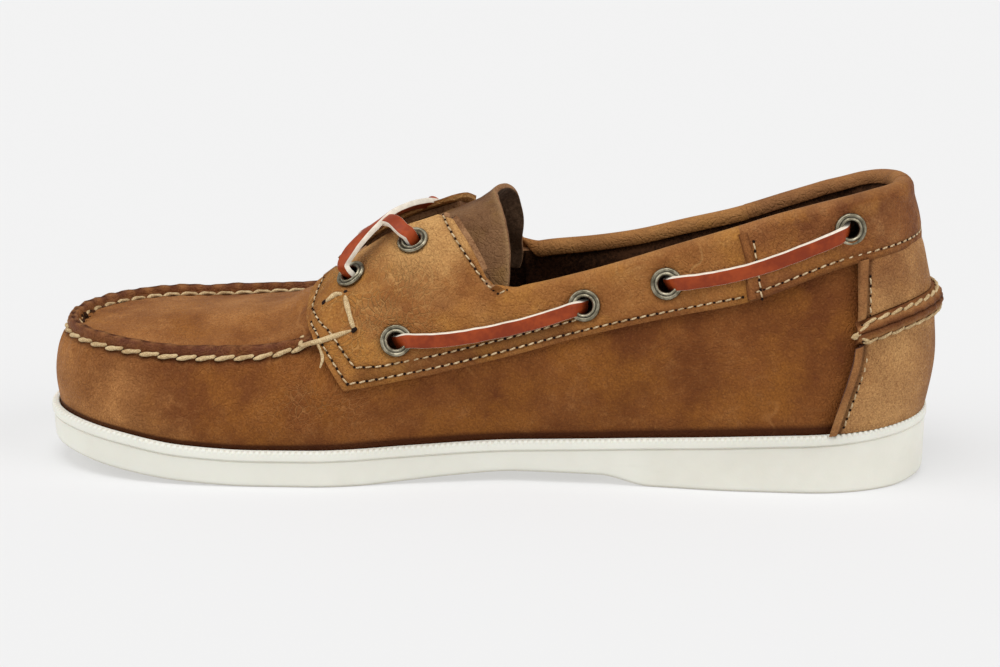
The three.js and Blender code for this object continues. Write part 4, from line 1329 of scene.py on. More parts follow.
# ---------------------------------------------------------------- upper
@dataclass
class Upper:
    """The moccasin shell: vamp wall, raised hand-sewn seam, plug and quarters in one hollow form."""

    finishes: Finishes
    eyelets: Eyelets
    columns: int = 330
    thickness: float = 2.0
    folds: tuple[Fold, ...] = (
        Fold((206, 33), (196, 22), 5.0, 0.7, 2.0),
        Fold((199, 40), (206, 20), 3.5, 0.5, -2.0),
        Fold((188, 26), (176, 16), 5.0, 0.45),
        Fold((232, 34), (246, 24), 8.0, 0.6),
        Fold((256, 38), (276, 26), 7.0, 0.5, 2.0),
        Fold((60, 30), (110, 26), 9.0, 0.6),
        Fold((120, 34), (160, 24), 8.0, 0.7),
    )

    def pitch_phase(self, turn: Array) -> Array:
        """Returns how many hand stitches lie between the saddle and each place along the seam."""
        fine = np.linspace(LAST.turn_at(190.0), math.pi, 400)
        length = arc_lengths(LAST.point(fine, 1.0, 1.0))
        return np.interp(turn, fine, length) / HAND.pitch

    def shell_points(self) -> tuple[Array, Array, dict[str, Array]]:
        """Returns the shell's places, normals and masks."""
        half = self.columns // 2
        turn = np.concatenate([np.linspace(math.pi, 0, half), np.linspace(0, math.pi, half)])[None, :]
        side = np.concatenate([np.ones(half), -np.ones(half)])[None, :]
        rises = np.concatenate(
            [
                [-0.9, -0.4],
                np.linspace(0, 0.94, 34),
                np.linspace(0.96, 1 + RIDGE_SHARE + 0.03, 30),
                np.linspace(1.18, 2, 34),
            ]
        )[:, None]
        limit = self.opening(turn[0], side[0])[None, :]
        rise = np.minimum(rises, limit)
        turn, side, rise = np.broadcast_arrays(turn, side, rise)
        points = LAST.point(turn, rise, side)
        share = (0.5 * smooth(1.6, 2.0, rise))[..., None]
        other = LAST.point(turn, rise, -side)
        points[..., 2] = points[..., 2] + share[..., 0] * (other[..., 2] - points[..., 2])
        normals = unit(LAST.normal(turn, rise, side) * (1 - share) + LAST.normal(turn, rise, -side) * share)
        x, z = points[..., 0], points[..., 2]
        seam = smooth(186, 200, x)
        phase = self.pitch_phase(turn)
        gather = np.cos(2 * math.pi * phase)
        wall = smooth(0.55, 0.97, rise) * (1 - smooth(1.0, 1.02, rise))
        ridge = bell(rise - 1.055, 0.035)
        inner = bell(rise - 1.15, 0.05)
        push = seam * (0.42 * wall * gather - 0.5 * bell(rise - 1.0, 0.02))
        push = push + seam * ridge * (0.95 + 0.13 * gather + 0.22 * lumps(points, 5, 3))
        slot = bell(rise - 1.058, 0.009)
        push = push - seam * slot * 0.65 + seam * inner * 0.35 * gather
        for fold in self.folds:
            height = fold.height(x, z) * (side > 0) + fold.height(x + 7, z) * (side < 0) * 0.8
            push = push + height * (1 - smooth(1.6, 1.95, rise))
        dish = smooth(0.15, 0.5, (rise - 1.15)) * smooth(200, 216, x)
        push = push + 0.35 * lumps(points, 46, 8) * smooth(0.05, 0.3, rise) + dish * -0.5
        across = points[..., 1] - LAST.axis(x)
        vamp = smooth(1.2, 1.4, rise) * smooth(194, 200, x)
        for station, depth, width in ((206, 0.9, 2.2), (212, 0.7, 2.4), (219, 0.45, 3.0)):
            trough = np.exp(-(((x - station - 0.006 * across**2 + 1.2 * np.sin(across / 7)) / width) ** 2))
            push = push - vamp * depth * trough
        cloud = lumps(points, 60, 41) * 0.5 + lumps(points, 26, 42) * 0.5
        # The toe and the plug are lighter: partly the leather's own tone, partly painted highlight where they
        # face the light.
        toe = smooth(218, 282, x) * (0.46 + 0.22 * cloud) * (1 - 0.3 * smooth(0.5, 1.0, rise))
        plug = smooth(1.16, 1.3, rise) * smooth(196, 206, x) * (0.4 + 0.2 * cloud)
        low = (1 - smooth(0.1, 0.42, rise)) * 0.1 * (1 + cloud)
        vamp_cloud = smooth(0.5, 1.0, cloud) * 0.12
        creased = np.exp(-(((x - 196) / 16) ** 2) - (((z - 27) / 9) ** 2))
        # Painted shade in the seam's slot, under the ridge, on its inner side and between the gathers, and a
        # painted shadow line in the gap above the sole.
        seam_shade = 0.85 * slot + (0.3 + 0.35 * smooth(0.2, 1.0, -gather)) * ridge
        seam_shade = seam_shade + 0.65 * bell(rise - 0.98, 0.03) + 0.5 * inner
        sole_gap_shade = 0.85 * (1 - smooth(0.03, 0.055, rise)) + 0.22 * (1 - smooth(0.0, 0.13, rise))
        on_top = smooth(1.03, 1.05, rise) * (1 - smooth(1.08, 1.1, rise))
        on_ridge = np.exp(-(((rise - 1.05) / 0.05) ** 4))
        masks = {
            "pale": np.clip(np.maximum(toe, plug) + low + vamp_cloud, 0, 1),
            "crease": np.clip(creased + 0.35 * smooth(0.75, 0.95, rise) * seam, 0, 1),
            "seam": np.clip(seam * seam_shade + sole_gap_shade, 0, 1),
            "worn": np.clip(seam * 0.3 * on_top * (gather > 0.3), 0, 1),
            "plum": np.clip(seam * (0.72 + 0.3 * lumps(points, 13, 46)) * on_ridge, 0, 1),
        }
        return points + normals * push[..., None], normals, masks

    def opening(self, turn: Array, side: Array) -> Array:
        """Returns how far up each column of the shell goes before the collar or the throat."""
        rise = np.linspace(0.3, 2.0, 500)[:, None]
        points = LAST.point(turn[None, :], rise, side[None, :])
        x, z = points[..., 0], points[..., 2]
        collar = np.where(side > 0, topline[Side.MEDIAL](x), topline[Side.LATERAL](x))
        top = np.where(x < 141, collar - 3.0, np.where(x < 168, saddle_back(x) - 0.5, 1e3))
        slot = (x > 146) & (x < 199) & (np.abs(points[..., 1] - LAST.axis(x)) < throat_half(x) + 3.4)
        is_open = (z > top) | (slot & (rise > 1.2))
        first = np.where(is_open.any(0), is_open.argmax(0), len(rise) - 1)
        return rise[first, 0]

    def build(self) -> None:
        """Builds the shell and its hand-sewn seam."""
        points, normals, masks = self.shell_points()
        sheet = Sheet("moccasin_shell", points, normals, masks)
        self.eyelets.punch(sheet)
        sheet.dress(self.finishes.upper, self.finishes.lining, self.finishes.raw_edge)
        sheet.thicken(self.thickness, 0.0, rim=2, inner=1)
        sheet.smooth(50).finish("upper_leather", "upper")
        self.sew_seam()

    def sew_seam(self) -> None:
        """Sews thick thread along both sides of the raised seam."""
        rows = []
        for first, rise, lift in ((199.5, 1.004, 0.0), (207.0, 1 + RIDGE_SHARE + 0.02, 0.45)):
            start = float(LAST.turn_at(first))
            turn = np.concatenate([np.linspace(start, math.pi, 260), np.linspace(math.pi, start, 260)[1:]])
            side = np.concatenate([np.ones(260), -np.ones(259)])
            spots = Spots(LAST, turn, np.full_like(turn, rise), side)
            rows.append(Row(spots.lifted(lift), spots.normals))
        HAND.run(("moccasin_seam_thread", "moccasin_seam_hole_shade"), rows, self.finishes, 0.5, 0.3)


# ---------------------------------------------------------------- saddle and collar
@dataclass(frozen=True)
class Roll:
    """The padded roll along the top of the collar."""

    radius: float = 3.6
    inside: float = 0.4
    steps: int = 11
    drop_steps: int = 3

    def shade(self, count: int) -> Array:
        """Returns the painted shade on each of the roll's rows, most on its inner side."""
        return 0.5 * smooth(0.35, 0.9, np.linspace(0, 1, count))

    def rows(self, edge: Array, normal: Array, weight: Array) -> tuple[Array, Array]:
        """Returns extra rows of places, and their normals, that roll a sheet's top edge over.

        Args:
            edge: the sheet's top edge.
            normal: its outward normals.
            weight: the share of the full roll at each place.
        """
        run = unit(np.gradient(edge, axis=0))
        up = unit(np.cross(run, normal))
        up = np.where(up[:, 2:] < 0, -up, up)
        radius = (self.radius * weight)[:, None]
        centre = edge - normal * radius
        places, faces = [], []
        for angle in np.linspace(0, math.pi, self.steps + 1)[1:]:
            way = normal * math.cos(angle) + up * math.sin(angle)
            places.append(centre + way * radius)
            faces.append(way)
        for drop in np.linspace(0, self.inside, self.drop_steps + 1)[1:]:
            places.append(centre - normal * radius - up * (drop * weight)[:, None])
            faces.append(-normal)
        return np.stack(places), np.stack(faces)


def seam_station(z: Array | float) -> Array:
    """Returns where the rear collar overlaps the saddle's band."""
    return 54 + 8 * (np.asarray(z, float) - 50) / 46


@dataclass
class Saddle:
    """One side's overlay with the front half of the collar band."""

    side: Side
    finishes: Finishes
    eyelets: Eyelets
    roll: Roll = Roll()
    columns: int = 210
    rows: int = 84
    outer: float = 2.1
    thickness: float = 1.8
    far_setback: float = 3.4
    folds: tuple[Fold, ...] = (
        Fold((188.5, 61), (172, 66), 1.4, 0.55, 1.0),
        Fold((187, 58), (168, 58), 1.8, 0.5, 1.5),
        Fold((186, 54), (174, 51), 1.3, 0.45, 0.8),
        Fold((183, 49), (170, 40), 1.6, 0.4, -0.8),
        Fold((176, 70), (150, 58), 3.0, 0.5, 2.0),
        Fold((168, 66), (146, 54), 2.2, -0.35, 1.0),
        Fold((150, 56), (120, 50), 3.4, 0.45, 1.0),
        Fold((180, 44), (166, 38), 1.2, 0.3, 0.5),
    )

    def throat_limit(self, stations: Array) -> tuple[Array, Array]:
        """Returns the rise and the height of the throat's edge at each station."""
        rise = np.linspace(1.15, 2.0, 1200)
        turn = LAST.turn_at(stations)[None, :]
        points = LAST.point(turn, rise[:, None], float(self.side.value))
        inside = np.abs(points[..., 1] - LAST.axis(points[..., 0])) < throat_half(points[..., 0])
        first = inside.argmax(0)
        return rise[first], points[first, np.arange(len(stations)), 2]

    def trimmed(self, spots: "Spots", meeting: float) -> "Spots":
        """Returns the patch's places with none past the throat's edge, and the top row right on it."""
        stations = np.linspace(150, 204, 109)
        limit = np.interp(spots.points[..., 0], stations, self.throat_limit(stations)[0])
        rise = np.minimum(spots.rise, limit)
        on_throat = spots.points[-1, :, 0] > meeting
        rise[-1] = np.where(on_throat, limit[-1], rise[-1])
        return Spots(LAST, spots.turn, rise, spots.side)

    def borders(self) -> tuple[Array, Array, Array, Array]:
        """Returns the bottom, top, rear and front borders, seen from the side."""
        top = topline[self.side]
        rear_low = np.array([seam_station(63.6), band_edge(seam_station(63.6))])
        x = np.linspace(float(rear_low[0]), 187.6, 60)
        bottom = np.stack([x, band_edge(x)], -1)
        setback = self.far_setback if self.side is Side.LATERAL else 0.0
        throat_x = np.linspace(160, 200 - setback, 40)
        throat = np.stack([throat_x, self.throat_limit(throat_x)[1]], -1)
        back_x = np.linspace(143, 166, 60)
        back = np.stack([back_x, saddle_back(back_x)], -1)
        meets = back[:, 1] < np.interp(back_x, throat_x, throat[:, 1])
        back = back[meets]
        throat = throat[throat[:, 0] > back[-1, 0] + 0.5]
        x = np.linspace(60.4, 141, 60)
        weight = 1 - smooth(131, 141, x)
        collar = np.stack([x, top(x) - self.roll.radius * weight], -1)
        upper = np.concatenate([collar, back, throat])
        corner = (201.6 - 0.6 * setback, 57)
        front = np.array([(187.6, 32.2), (195, 42.6), (201.2, 51.4), corner, tuple(throat[-1])])
        rear = np.stack([rear_low, collar[0]])
        return bottom, upper, rear, front

    def patch(self) -> tuple[Array, Array, Array]:
        """Returns stations, heights and the roll's weight over the piece."""
        bottom, top, rear, front = self.borders()
        b, t = resample(bottom, self.columns)[None], resample(top, self.columns)[None]
        left, right = resample(rear, self.rows)[:, None], resample(front, self.rows)[:, None]
        u = np.linspace(0, 1, self.columns)[None, :, None]
        v = np.linspace(0, 1, self.rows)[:, None, None]
        corners = (1 - v) * ((1 - u) * b[:, :1] + u * b[:, -1:]) + v * ((1 - u) * t[:, :1] + u * t[:, -1:])
        flat = (1 - v) * b + v * t + (1 - u) * left + u * right - corners
        x = t[0, :, 0]
        length = arc_lengths(t[0])
        on_collar = length <= length[np.argmax(x > 141)]
        return flat[..., 0], flat[..., 1], np.where(on_collar, 1 - smooth(131, 141, x), 0.0)

    def stitch_rows(self) -> dict[str, list[tuple[float, float]]]:
        """Returns the lines of machine stitching, seen from the side."""
        setback = self.far_setback if self.side is Side.LATERAL else 0.0
        low = [(x, float(band_edge(x)) + 2.0) for x in (186.2, 176, 160, 140, 120, 100, 80, 60.2)]
        inner = [(198.6, 53.6), (191.8, 48.2), (184.0, 39.4)]
        inner += [(x, float(band_edge(x)) + 5.75) for x in (176, 168, 157, 146, 137, 128, 120, 112)]
        return {
            "front": [(198.8, 50.6), (192.6, 42.6), (186.2, 34.2)],
            "low": low,
            "inner": inner,
            "front_top": [(199.2, 53.8), (198.6 - 0.5 * setback, 58), (197.0 - setback, 62.4)],
            "rear": [
                (162.8, 85.2), (160.4, 84.8), (156.6, 80.6), (150.6, 73.6), (144.2, 66.0), (139.0, 61.6)
            ],
            "rear_foot": [(139.0, 61.8), (133.8, 63.9)],
        }

    def dress_rows(self, lift: float) -> list[Row]:
        """Returns the rows of stitching on the leather's surface."""
        curved = {"front", "low", "rear", "front_top"}
        rows = []
        for name, knots in self.stitch_rows().items():
            row = row_on(self.side, knots, lift, name in curved)
            x, y = row.points[:, 0], row.points[:, 1]
            kept = (np.abs(y - LAST.axis(x)) > throat_half(x) + 1.7) | (x < 146)
            rows.append(Row(row.points[kept], row.normals[kept]))
        return rows

    def build(self) -> None:
        """Builds the overlay, its stitching and its heavy thread tack."""
        x, z, weight = self.patch()
        spots = self.trimmed(LAST.at(x, z, self.side), 166.5)
        normals = spots.normals
        base = spots.lifted(self.outer)
        push = np.zeros_like(x)
        for fold in self.folds:
            push = push + fold.height(x, z)
        lines = {name: resample(np.array(knots), 160) for name, knots in self.stitch_rows().items()}
        near = np.min([distance_to(x, z, line) for line in lines.values()], axis=0)
        double = np.abs(z - band_edge(x) - 3.9)
        between = np.exp(-((double / 1.9) ** 4)) * smooth(112, 118, x) * (1 - smooth(180, 188, x))
        push = push - 0.28 * bell(near, 0.75) + 0.18 * lumps(base, 26, 12) + 0.06 * lumps(base, 6, 4)
        push = push + self.eyelets.dimple(base)
        bottom_edge = np.exp(-(((z - band_edge(x)) / 1.1) ** 2))
        push = push - 0.25 * bottom_edge
        # Painted shade along the stitch lines, between the double rows and along the bottom edge.
        seam = np.clip(0.35 * bell(near, 0.8) + 0.42 * between + 0.3 * bottom_edge, 0, 1)
        back_edge = np.stack([SADDLE_BACK_X, SADDLE_BACK_Z], -1) * 1.0
        rear = bell(distance_to(x, z, back_edge), 3.0)
        creased = sum(np.clip(-fold.height(x, z), 0, None) for fold in self.folds)
        cloud = lumps(base, 38, 43) * 0.5 + lumps(base, 14, 44) * 0.5
        # The crest near the collar and the throat is lighter: partly its own tone, partly painted highlight
        # on leather that faces up.
        crest_tone_and_highlight = smooth(60, 78, z) * smooth(138, 154, x) * (0.9 + 0.35 * cloud)
        band = (1 - smooth(96, 112, x)) * (0.06 + 0.1 * cloud)
        dull = smooth(150, 176, x) * (1 - smooth(46, 62, z)) * (0.18 + 0.12 * cloud)
        nearness = np.exp(-(((x - 182) / 24) ** 4) - (((z - 58) / 17) ** 4))
        pale = np.clip(crest_tone_and_highlight + band + 0.12 * smooth(0.2, 1, cloud) - dull, -1, 1)
        worn = np.clip(0.1 * rear + 0.3 * creased, 0, 1)
        masks_low = {"seam": seam, "worn": worn, "pale": pale, "crease": nearness}
        places, faces = self.roll.rows(base[-1], normals[-1], weight)
        points = np.concatenate([base + normals * push[..., None], places])
        outward = np.concatenate([normals, faces])
        extra = np.zeros(places.shape[:2])
        # Painted shade on the roll's inner side, and a painted highlight along its top.
        inside = extra + self.roll.shade(len(places))[:, None] * (weight > 0)
        top_light = extra + 0.25 * weight * np.sin(np.linspace(0, math.pi, len(places)))[:, None]
        masks = {
            "seam": np.concatenate([masks_low["seam"], inside]),
            "worn": np.concatenate([masks_low["worn"], top_light]),
            "pale": np.concatenate([masks_low["pale"], extra + 0.05]),
            "crease": np.concatenate([masks_low["crease"], extra]),
        }
        label = self.side.label
        sheet = Sheet(f"saddle_overlay_{label}", points, outward, masks)
        self.eyelets.punch(sheet, 3.5)
        sheet.dress(self.finishes.saddle, self.finishes.raw_edge).thicken(self.thickness, 0.3, rim=1)
        sheet.smooth(42).finish("saddle_leather", f"saddle_{label}")
        rows = self.dress_rows(self.outer - 0.05)
        MACHINE.run((f"saddle_stitches_{label}", f"saddle_needle_holes_{label}"), rows, self.finishes, 0.46)
        self.tack()

    def tack(self) -> None:
        """Sews the thick thread that ties the seam's end down over the saddle."""
        label = self.side.label
        legs = (
            [(203.4, 44.6), (198.6, 45.6), (194.6, 46.6), (184.6, 50.2)],
            [(184.8, 50.2), (186.6, 55.0), (188.3, 59.8)],
            [(188.5, 59.4), (191.6, 58.6), (194.8, 56.4)],
        )
        rows = [row_on(self.side, leg, self.outer) for leg in legs]
        for i, row in enumerate(rows):
            stitch = Stitch(row.length() * 0.999, 0.2, 0.85, 0.9, 0.14, 0.3, 12, 30)
            stitch.sew(f"saddle_tack_{label}_{i}", [row], self.finishes.cord)
        hanging = [(196.4, 45.8), (194.9, 43.4), (194.3, 41.2), (195.0, 38.6)]
        tail = row_on(self.side, hanging, self.outer + 0.5)
        loose = Stitch(tail.length() * 0.999, 0.1, 0.5, 0.4, 0.18, 0.0, 10, 24)
        loose.sew(f"saddle_tack_tail_{label}", [tail], self.finishes.cord)
        ends = [row.points[-1] for row in rows[:3]]
        # Dark balls at the thread's ends: painted shade for the holes that it goes into.
        pattern, shape = ball(12, 6)
        face = rows[1].normals[-1]
        squash = shape - np.outer(shape @ face, face) * 0.7
        holes = copies(f"saddle_tack_holes_{label}", pattern, [end + squash * 1.15 for end in ends])
        holes.dress(self.finishes.holes).smooth(60).finish(THREAD_SLOT)


@dataclass
class RearCollar:
    """The rear half of the collar band, its roll, its overlap seams and its padded lining."""

    finishes: Finishes
    eyelets: Eyelets
    roll: Roll = Roll()
    columns: int = 240
    rows: int = 34
    outer: float = 2.1

    def top(self, x: Array, side: Array) -> Array:
        """Returns the collar line's height."""
        return np.where(side > 0, topline[Side.MEDIAL](x), topline[Side.LATERAL](x))

    def band(self) -> None:
        """Builds the band and its roll."""
        v = np.linspace(0, 1, self.rows)[:, None]
        reach = LAST.turn_at(seam_station(63.6 + 20 * v) + 1.3)
        turn = np.linspace(-1, 1, self.columns)[None, :] * reach

        def height(x: Array, side: Array) -> Array:
            low = band_edge(x)
            return low + v * (self.top(x, side) - self.roll.radius - low)

        spots = LAST.round_heel(turn, height)
        normals = spots.normals
        base = spots.lifted(self.outer + 0.3)
        side = spots.side
        edge = v * (self.top(base[..., 0], side) - self.roll.radius - band_edge(base[..., 0]))
        puff = 0.7 * np.sin(math.pi * np.clip(edge / 14, 0, 1)) - 0.3 * bell(edge, 1.2)
        groove = bell(edge - 2.6, 0.8)
        push = puff - 0.3 * groove + 0.15 * lumps(base, 22, 6) + self.eyelets.dimple(base)
        base = base + normals * push[..., None]
        places, faces = self.roll.rows(base[-1], normals[-1], np.ones(self.columns))
        extra = np.zeros(places.shape[:2])
        # A painted highlight along the roll's top; painted shade in the groove, at the band's lower edge and
        # on the roll's inner side.
        glow = 0.3 * np.sin(np.linspace(0, math.pi, len(places)))[:, None]
        masks = {
            "seam": np.concatenate(
                [0.45 * groove + 0.5 * bell(edge, 0.9), extra + self.roll.shade(len(places))[:, None]]
            ),
            "worn": np.concatenate([0 * edge, extra + glow]),
            "pale": np.concatenate([0.1 + 0.25 * lumps(base, 30, 45), extra + 0.1]),
        }
        points, outward = np.concatenate([base, places]), np.concatenate([normals, faces])
        sheet = Sheet("rear_collar_band", points, outward, masks)
        self.eyelets.punch(sheet, 3.5)
        sheet.dress(self.finishes.collar, self.finishes.raw_edge).thicken(1.8, 0.3, rim=1)
        sheet.smooth(42).finish("saddle_leather", "collar_rear")

    def stitches(self) -> None:
        """Sews the band's lower edge."""
        turn = np.linspace(-1, 1, 300) * float(LAST.turn_at(56.5))
        spots = LAST.round_heel(turn, lambda x, side: band_edge(x) + 2.6)
        rows = [Row(spots.lifted(self.outer + 0.38), spots.normals)]
        MACHINE.run(("rear_collar_stitches", "rear_collar_needle_holes"), rows, self.finishes, 0.44)

    def overlap(self, side: Side) -> None:
        """Builds the raised fold where the rear band overlaps the saddle's band."""
        z = np.linspace(float(band_edge(56.0)) + 0.2, float(topline[side](61.0)) - 2.5, 60)
        x = seam_station(z) + 0.4 + 0.5 * np.sin(z / 3.2)
        spots = LAST.at(x, z, side)
        centre, normal = spots.lifted(self.outer), spots.normals
        run = unit(np.gradient(centre, axis=0))
        beside = np.cross(normal, run)
        profile = ((-1.9, -0.5), (-1.6, 0.3), (-0.9, 0.8), (-0.1, 0.9), (0.7, 0.75), (1.3, 0.3), (1.6, -0.5))
        swell = 1 + 0.3 * bell(z - z[0] - 13, 2.0) + 0.1 * np.sin(z * 1.3)
        points = np.stack([centre + beside * a + normal * (b * swell)[:, None] for a, b in profile])
        # Painted shade along the fold's edges.
        dark = np.array([0.9, 0.5, 0.15, 0.0, 0.1, 0.5, 0.9])[:, None]
        outward = np.broadcast_to(normal, points.shape)
        sheet = Sheet(f"collar_overlap_fold_{side.label}", points, outward, {"seam": dark})
        sheet.dress(self.finishes.collar).thicken(0.5, 0.0).smooth(60).finish("saddle_leather")
        z = np.linspace(float(band_edge(56.0)) + 0.4, float(topline[side](61.0)) - 4.5, 60)
        spots = LAST.at(seam_station(z) - 2.3, z, side)
        puff = 0.7 * np.sin(math.pi * np.clip((z - band_edge(56.0)) / 14, 0, 1))
        rows = [Row(spots.lifted(self.outer + 0.32 + puff), spots.normals)]
        names = f"collar_overlap_stitches_{side.label}", f"collar_overlap_holes_{side.label}"
        MACHINE.run(names, rows, self.finishes, 0.5)

    def lining(self) -> None:
        """Builds the padded suede lining inside the collar."""
        v = np.linspace(0, 1, 40)[:, None]
        reach = LAST.turn_at(np.full((40, 1), 137.0))
        turn = np.linspace(-1, 1, 180)[None, :] * reach

        def height(x: Array, side: Array) -> Array:
            low = LAST.rim(x) + 1.5
            high = self.top(x, side) - 3.4
            return high - v * (high - low)

        spots = LAST.round_heel(turn, height)
        normals = spots.normals
        front = smooth(112, 136, spots.points[..., 0])
        depth = (-5.4 + 2.4 * front) + (2.8 - 2.4 * front) * smooth(0.12, 0.75, v)
        tuck = (1.7 - 0.9 * front) * bell(v, 0.055)
        points = spots.lifted(depth + 0.25 * lumps(spots.points, 24, 9) * smooth(0.03, 0.15, v) + tuck)
        sheet = Sheet("collar_pad_lining", points, -normals, {"seam": 0 * v})
        sheet.dress(self.finishes.lining).thicken(1.0, 0.0).smooth(60).finish("lining_suede", "collar_lining")

    def build(self) -> None:
        """Builds the rear collar."""
        self.band()
        self.stitches()
        self.lining()
        for side in Side:
            self.overlap(side)


# ---------------------------------------------------------------- heel
def kicker_height(x: Array) -> Array:
    """Returns the height of the middle of the kicker."""
    return 58.5 - 6.0 * np.clip(np.asarray(x, float) / 25.0, 0, 1) ** 1.5


@dataclass
class Heel:
    """The counter's leather in two pieces and the raised hand-sewn kicker between them."""

    finishes: Finishes
    outer: float = 2.1
    slot: float = 4.2
    fold_width: float = 3.6

    def front(self, z: Array | float) -> Array:
        """Returns the station of the counter's front edge at a height."""
        return Track((15, 30, 45, 58, 76), (34, 29.5, 25.5, 24.5, 24))(z)

    def counter(self, name: str, node: str, low: Callable, high: Callable) -> None:
        """Builds one piece of the counter.

        Args:
            name: the piece's name.
            node: the node that it stands for.
            low: its lower edge's height at a station.
            high: its upper edge's height at a station.
        """
        v = np.linspace(0, 1, 60)[:, None]
        guess = low(np.array(24.0)) + v * (high(np.array(24.0)) - low(np.array(24.0)))
        reach = LAST.turn_at(self.front(guess))
        turn = np.sign(np.linspace(-1, 1, 220)) * np.abs(np.linspace(-1, 1, 220)) ** 0.85 * reach
        spots = LAST.round_heel(turn, lambda x, side: low(x) + v * (high(x) - low(x)))
        normals = spots.normals
        base = spots.lifted(self.outer)
        edge = self.front(base[..., 2]) - base[..., 0]
        fold = 1.25 * smooth(-0.2, 0.8, edge) * (1 - smooth(self.fold_width - 0.9, self.fold_width, edge))
        fold = fold * (0.9 + 0.12 * np.sin(base[..., 2] / 2.3))
        groove = bell(edge - self.fold_width - 0.3, 0.7)
        push = fold - 0.25 * groove + 0.22 * lumps(base, 20, 15)
        below, above = base[..., 2] < COUNTER_SPLIT, base[..., 2] > COUNTER_SPLIT
        pale = 0.36 + 0.24 * lumps(base, 34, 46) + 0.25 * (1 - v) * below + 0.14 * above - 0.35 * fold
        # Painted shade in the groove behind the fold, at the front edge and along the lower edge.
        masks = {
            "seam": np.clip(0.75 * groove + 0.5 * bell(edge, 0.7) + 0.25 * (1 - smooth(0, 0.1, v)), 0, 1),
            "worn": 0.15 * fold,
            "pale": np.clip(pale, -1, 1),
        }
        sheet = Sheet(name, base + normals * push[..., None], normals, masks)
        sheet.dress(self.finishes.counter, self.finishes.seam_edge).thicken(1.5, 0.3, rim=1)
        sheet.smooth(42).finish("counter_leather", node)

    def fold_rows(self) -> list[Row]:
        """Returns the vertical stitching behind each front edge."""
        rows = []
        for side in Side:
            for low, high in ((22.5, 46.5), (58.5, 73.0)):
                z = np.linspace(low, high, 60)
                x = self.front(z) - self.fold_width - 0.6
                spots = LAST.round_heel(-side.value * LAST.turn_at(x), z)
                rows.append(Row(spots.lifted(self.outer - 0.1), spots.normals))
        return rows

    def kicker_points(self, turn: Array, up: float, out: float, swell: Array) -> Array:
        """Returns places along the kicker at one point of its section."""
        reach = 4.3 * swell
        spots = LAST.round_heel(turn, lambda x, side: kicker_height(x) + up * reach)
        return spots.lifted(0.4 + out * 4.7 * swell)

    def kicker(self) -> None:
        """Builds the raised seam with its two lips, and sews it."""
        turn = np.linspace(-1, 1, 260) * float(LAST.turn_at(24.5))
        share = np.abs(np.linspace(-1, 1, 260))
        swell = 1 - 0.22 * smooth(0.93, 1.0, share)
        pucker = np.cos(np.linspace(0, 2 * math.pi * 15, 260))
        section = (
            (-1.1, -0.1, 0.9),
            (-0.98, 0.3, 0.6),
            (-0.78, 0.62, 0.3),
            (-0.52, 0.86, 0.1),
            (-0.26, 1.0, 0.25),
            (-0.1, 0.99, 0.7),
            (0.0, 0.86, 1.0),
            (0.1, 0.97, 0.7),
            (0.28, 0.95, 0.25),
            (0.52, 0.78, 0.1),
            (0.76, 0.5, 0.3),
            (0.94, 0.2, 0.6),
            (1.08, -0.1, 0.9),
        )
        lines = []
        for up, out, _ in section:
            puckered = out * (1 + 0.05 * pucker * (out > 0.5))
            lines.append(self.kicker_points(turn, up, puckered, swell))
        points = np.stack(lines)
        middle = points.mean(0)
        first, last = (
            np.broadcast_to(end.mean(0), end.shape) for end in (points[:, :1], points[:, -1:])
        )
        points = np.concatenate([first, points, last], axis=1)
        # The third column is painted shade where the ridge meets the counter and in the valley between its
        # lips.
        dark = np.array([d for _, _, d in section])[:, None] * np.ones((1, points.shape[1]))
        outward = points - np.concatenate([middle[:1], middle, middle[-1:]])[None]
        sheet = Sheet("kicker_ridge", points, outward, {"seam": dark * 0.8, "worn": 0.3 * (dark < 0.2)})
        sheet.dress(self.finishes.counter).thicken(0.6, 0.0).smooth(60)
        sheet.finish("counter_leather", "kicker_seam")
        rows = []
        for up, out in ((-0.74, 0.72), (0.66, 0.66)):
            path = self.kicker_points(turn, up, out, swell)
            spots = LAST.round_heel(turn, lambda x, side: kicker_height(x) + up * 4.0)
            tilt = unit(spots.normals + np.array([0, 0, 1.0]) * np.sign(up) * 0.8)
            rows.append(Row(path[4:-4], tilt[4:-4]))
        FINE_HAND.run(("kicker_thread", "kicker_thread_hole_shade"), rows, self.finishes, 0.6, 0.25)
        for side in Side:
            end = 0 if side is Side.MEDIAL else -1
            step = 5 if end == 0 else -6
            knots = [rows[0].points[step], points[2, end] * 0.5 + points[4, end] * 0.5]
            knots += [middle[end] + np.array([1.6, 0, -0.6]) + side.value * np.array([0, 1.0, 0])]
            knots += [points[10, end] * 0.5 + points[9, end] * 0.5, rows[1].points[step]]
            path = spline(knots, 80)
            away = np.tile(spots.normals[end], (80, 1))
            lift = Row(path + away * 0.5, away)
            length = float(arc_lengths(path)[-1])
            loop = Stitch(length * 0.999, 0.1, 0.8, 0.3, 0.14, 0.0, 12, 40)
            loop.sew(f"kicker_end_loop_{side.label}", [lift], self.finishes.cord)

    def build(self) -> None:
        """Builds the heel."""
        self.counter(
            "heel_counter_below",
            "heel_counter_lower",
            lambda x: LAST.rim(x) + 0.35,
            lambda x: kicker_height(x) - self.slot,
        )
        self.counter(
            "heel_counter_above",
            "heel_counter_upper",
            lambda x: kicker_height(x) + self.slot,
            lambda x: band_edge(x) + 0.6,
        )
        self.kicker()
        MACHINE.run(("heel_stitches", "heel_needle_hole_shade"), self.fold_rows(), self.finishes, 0.44)


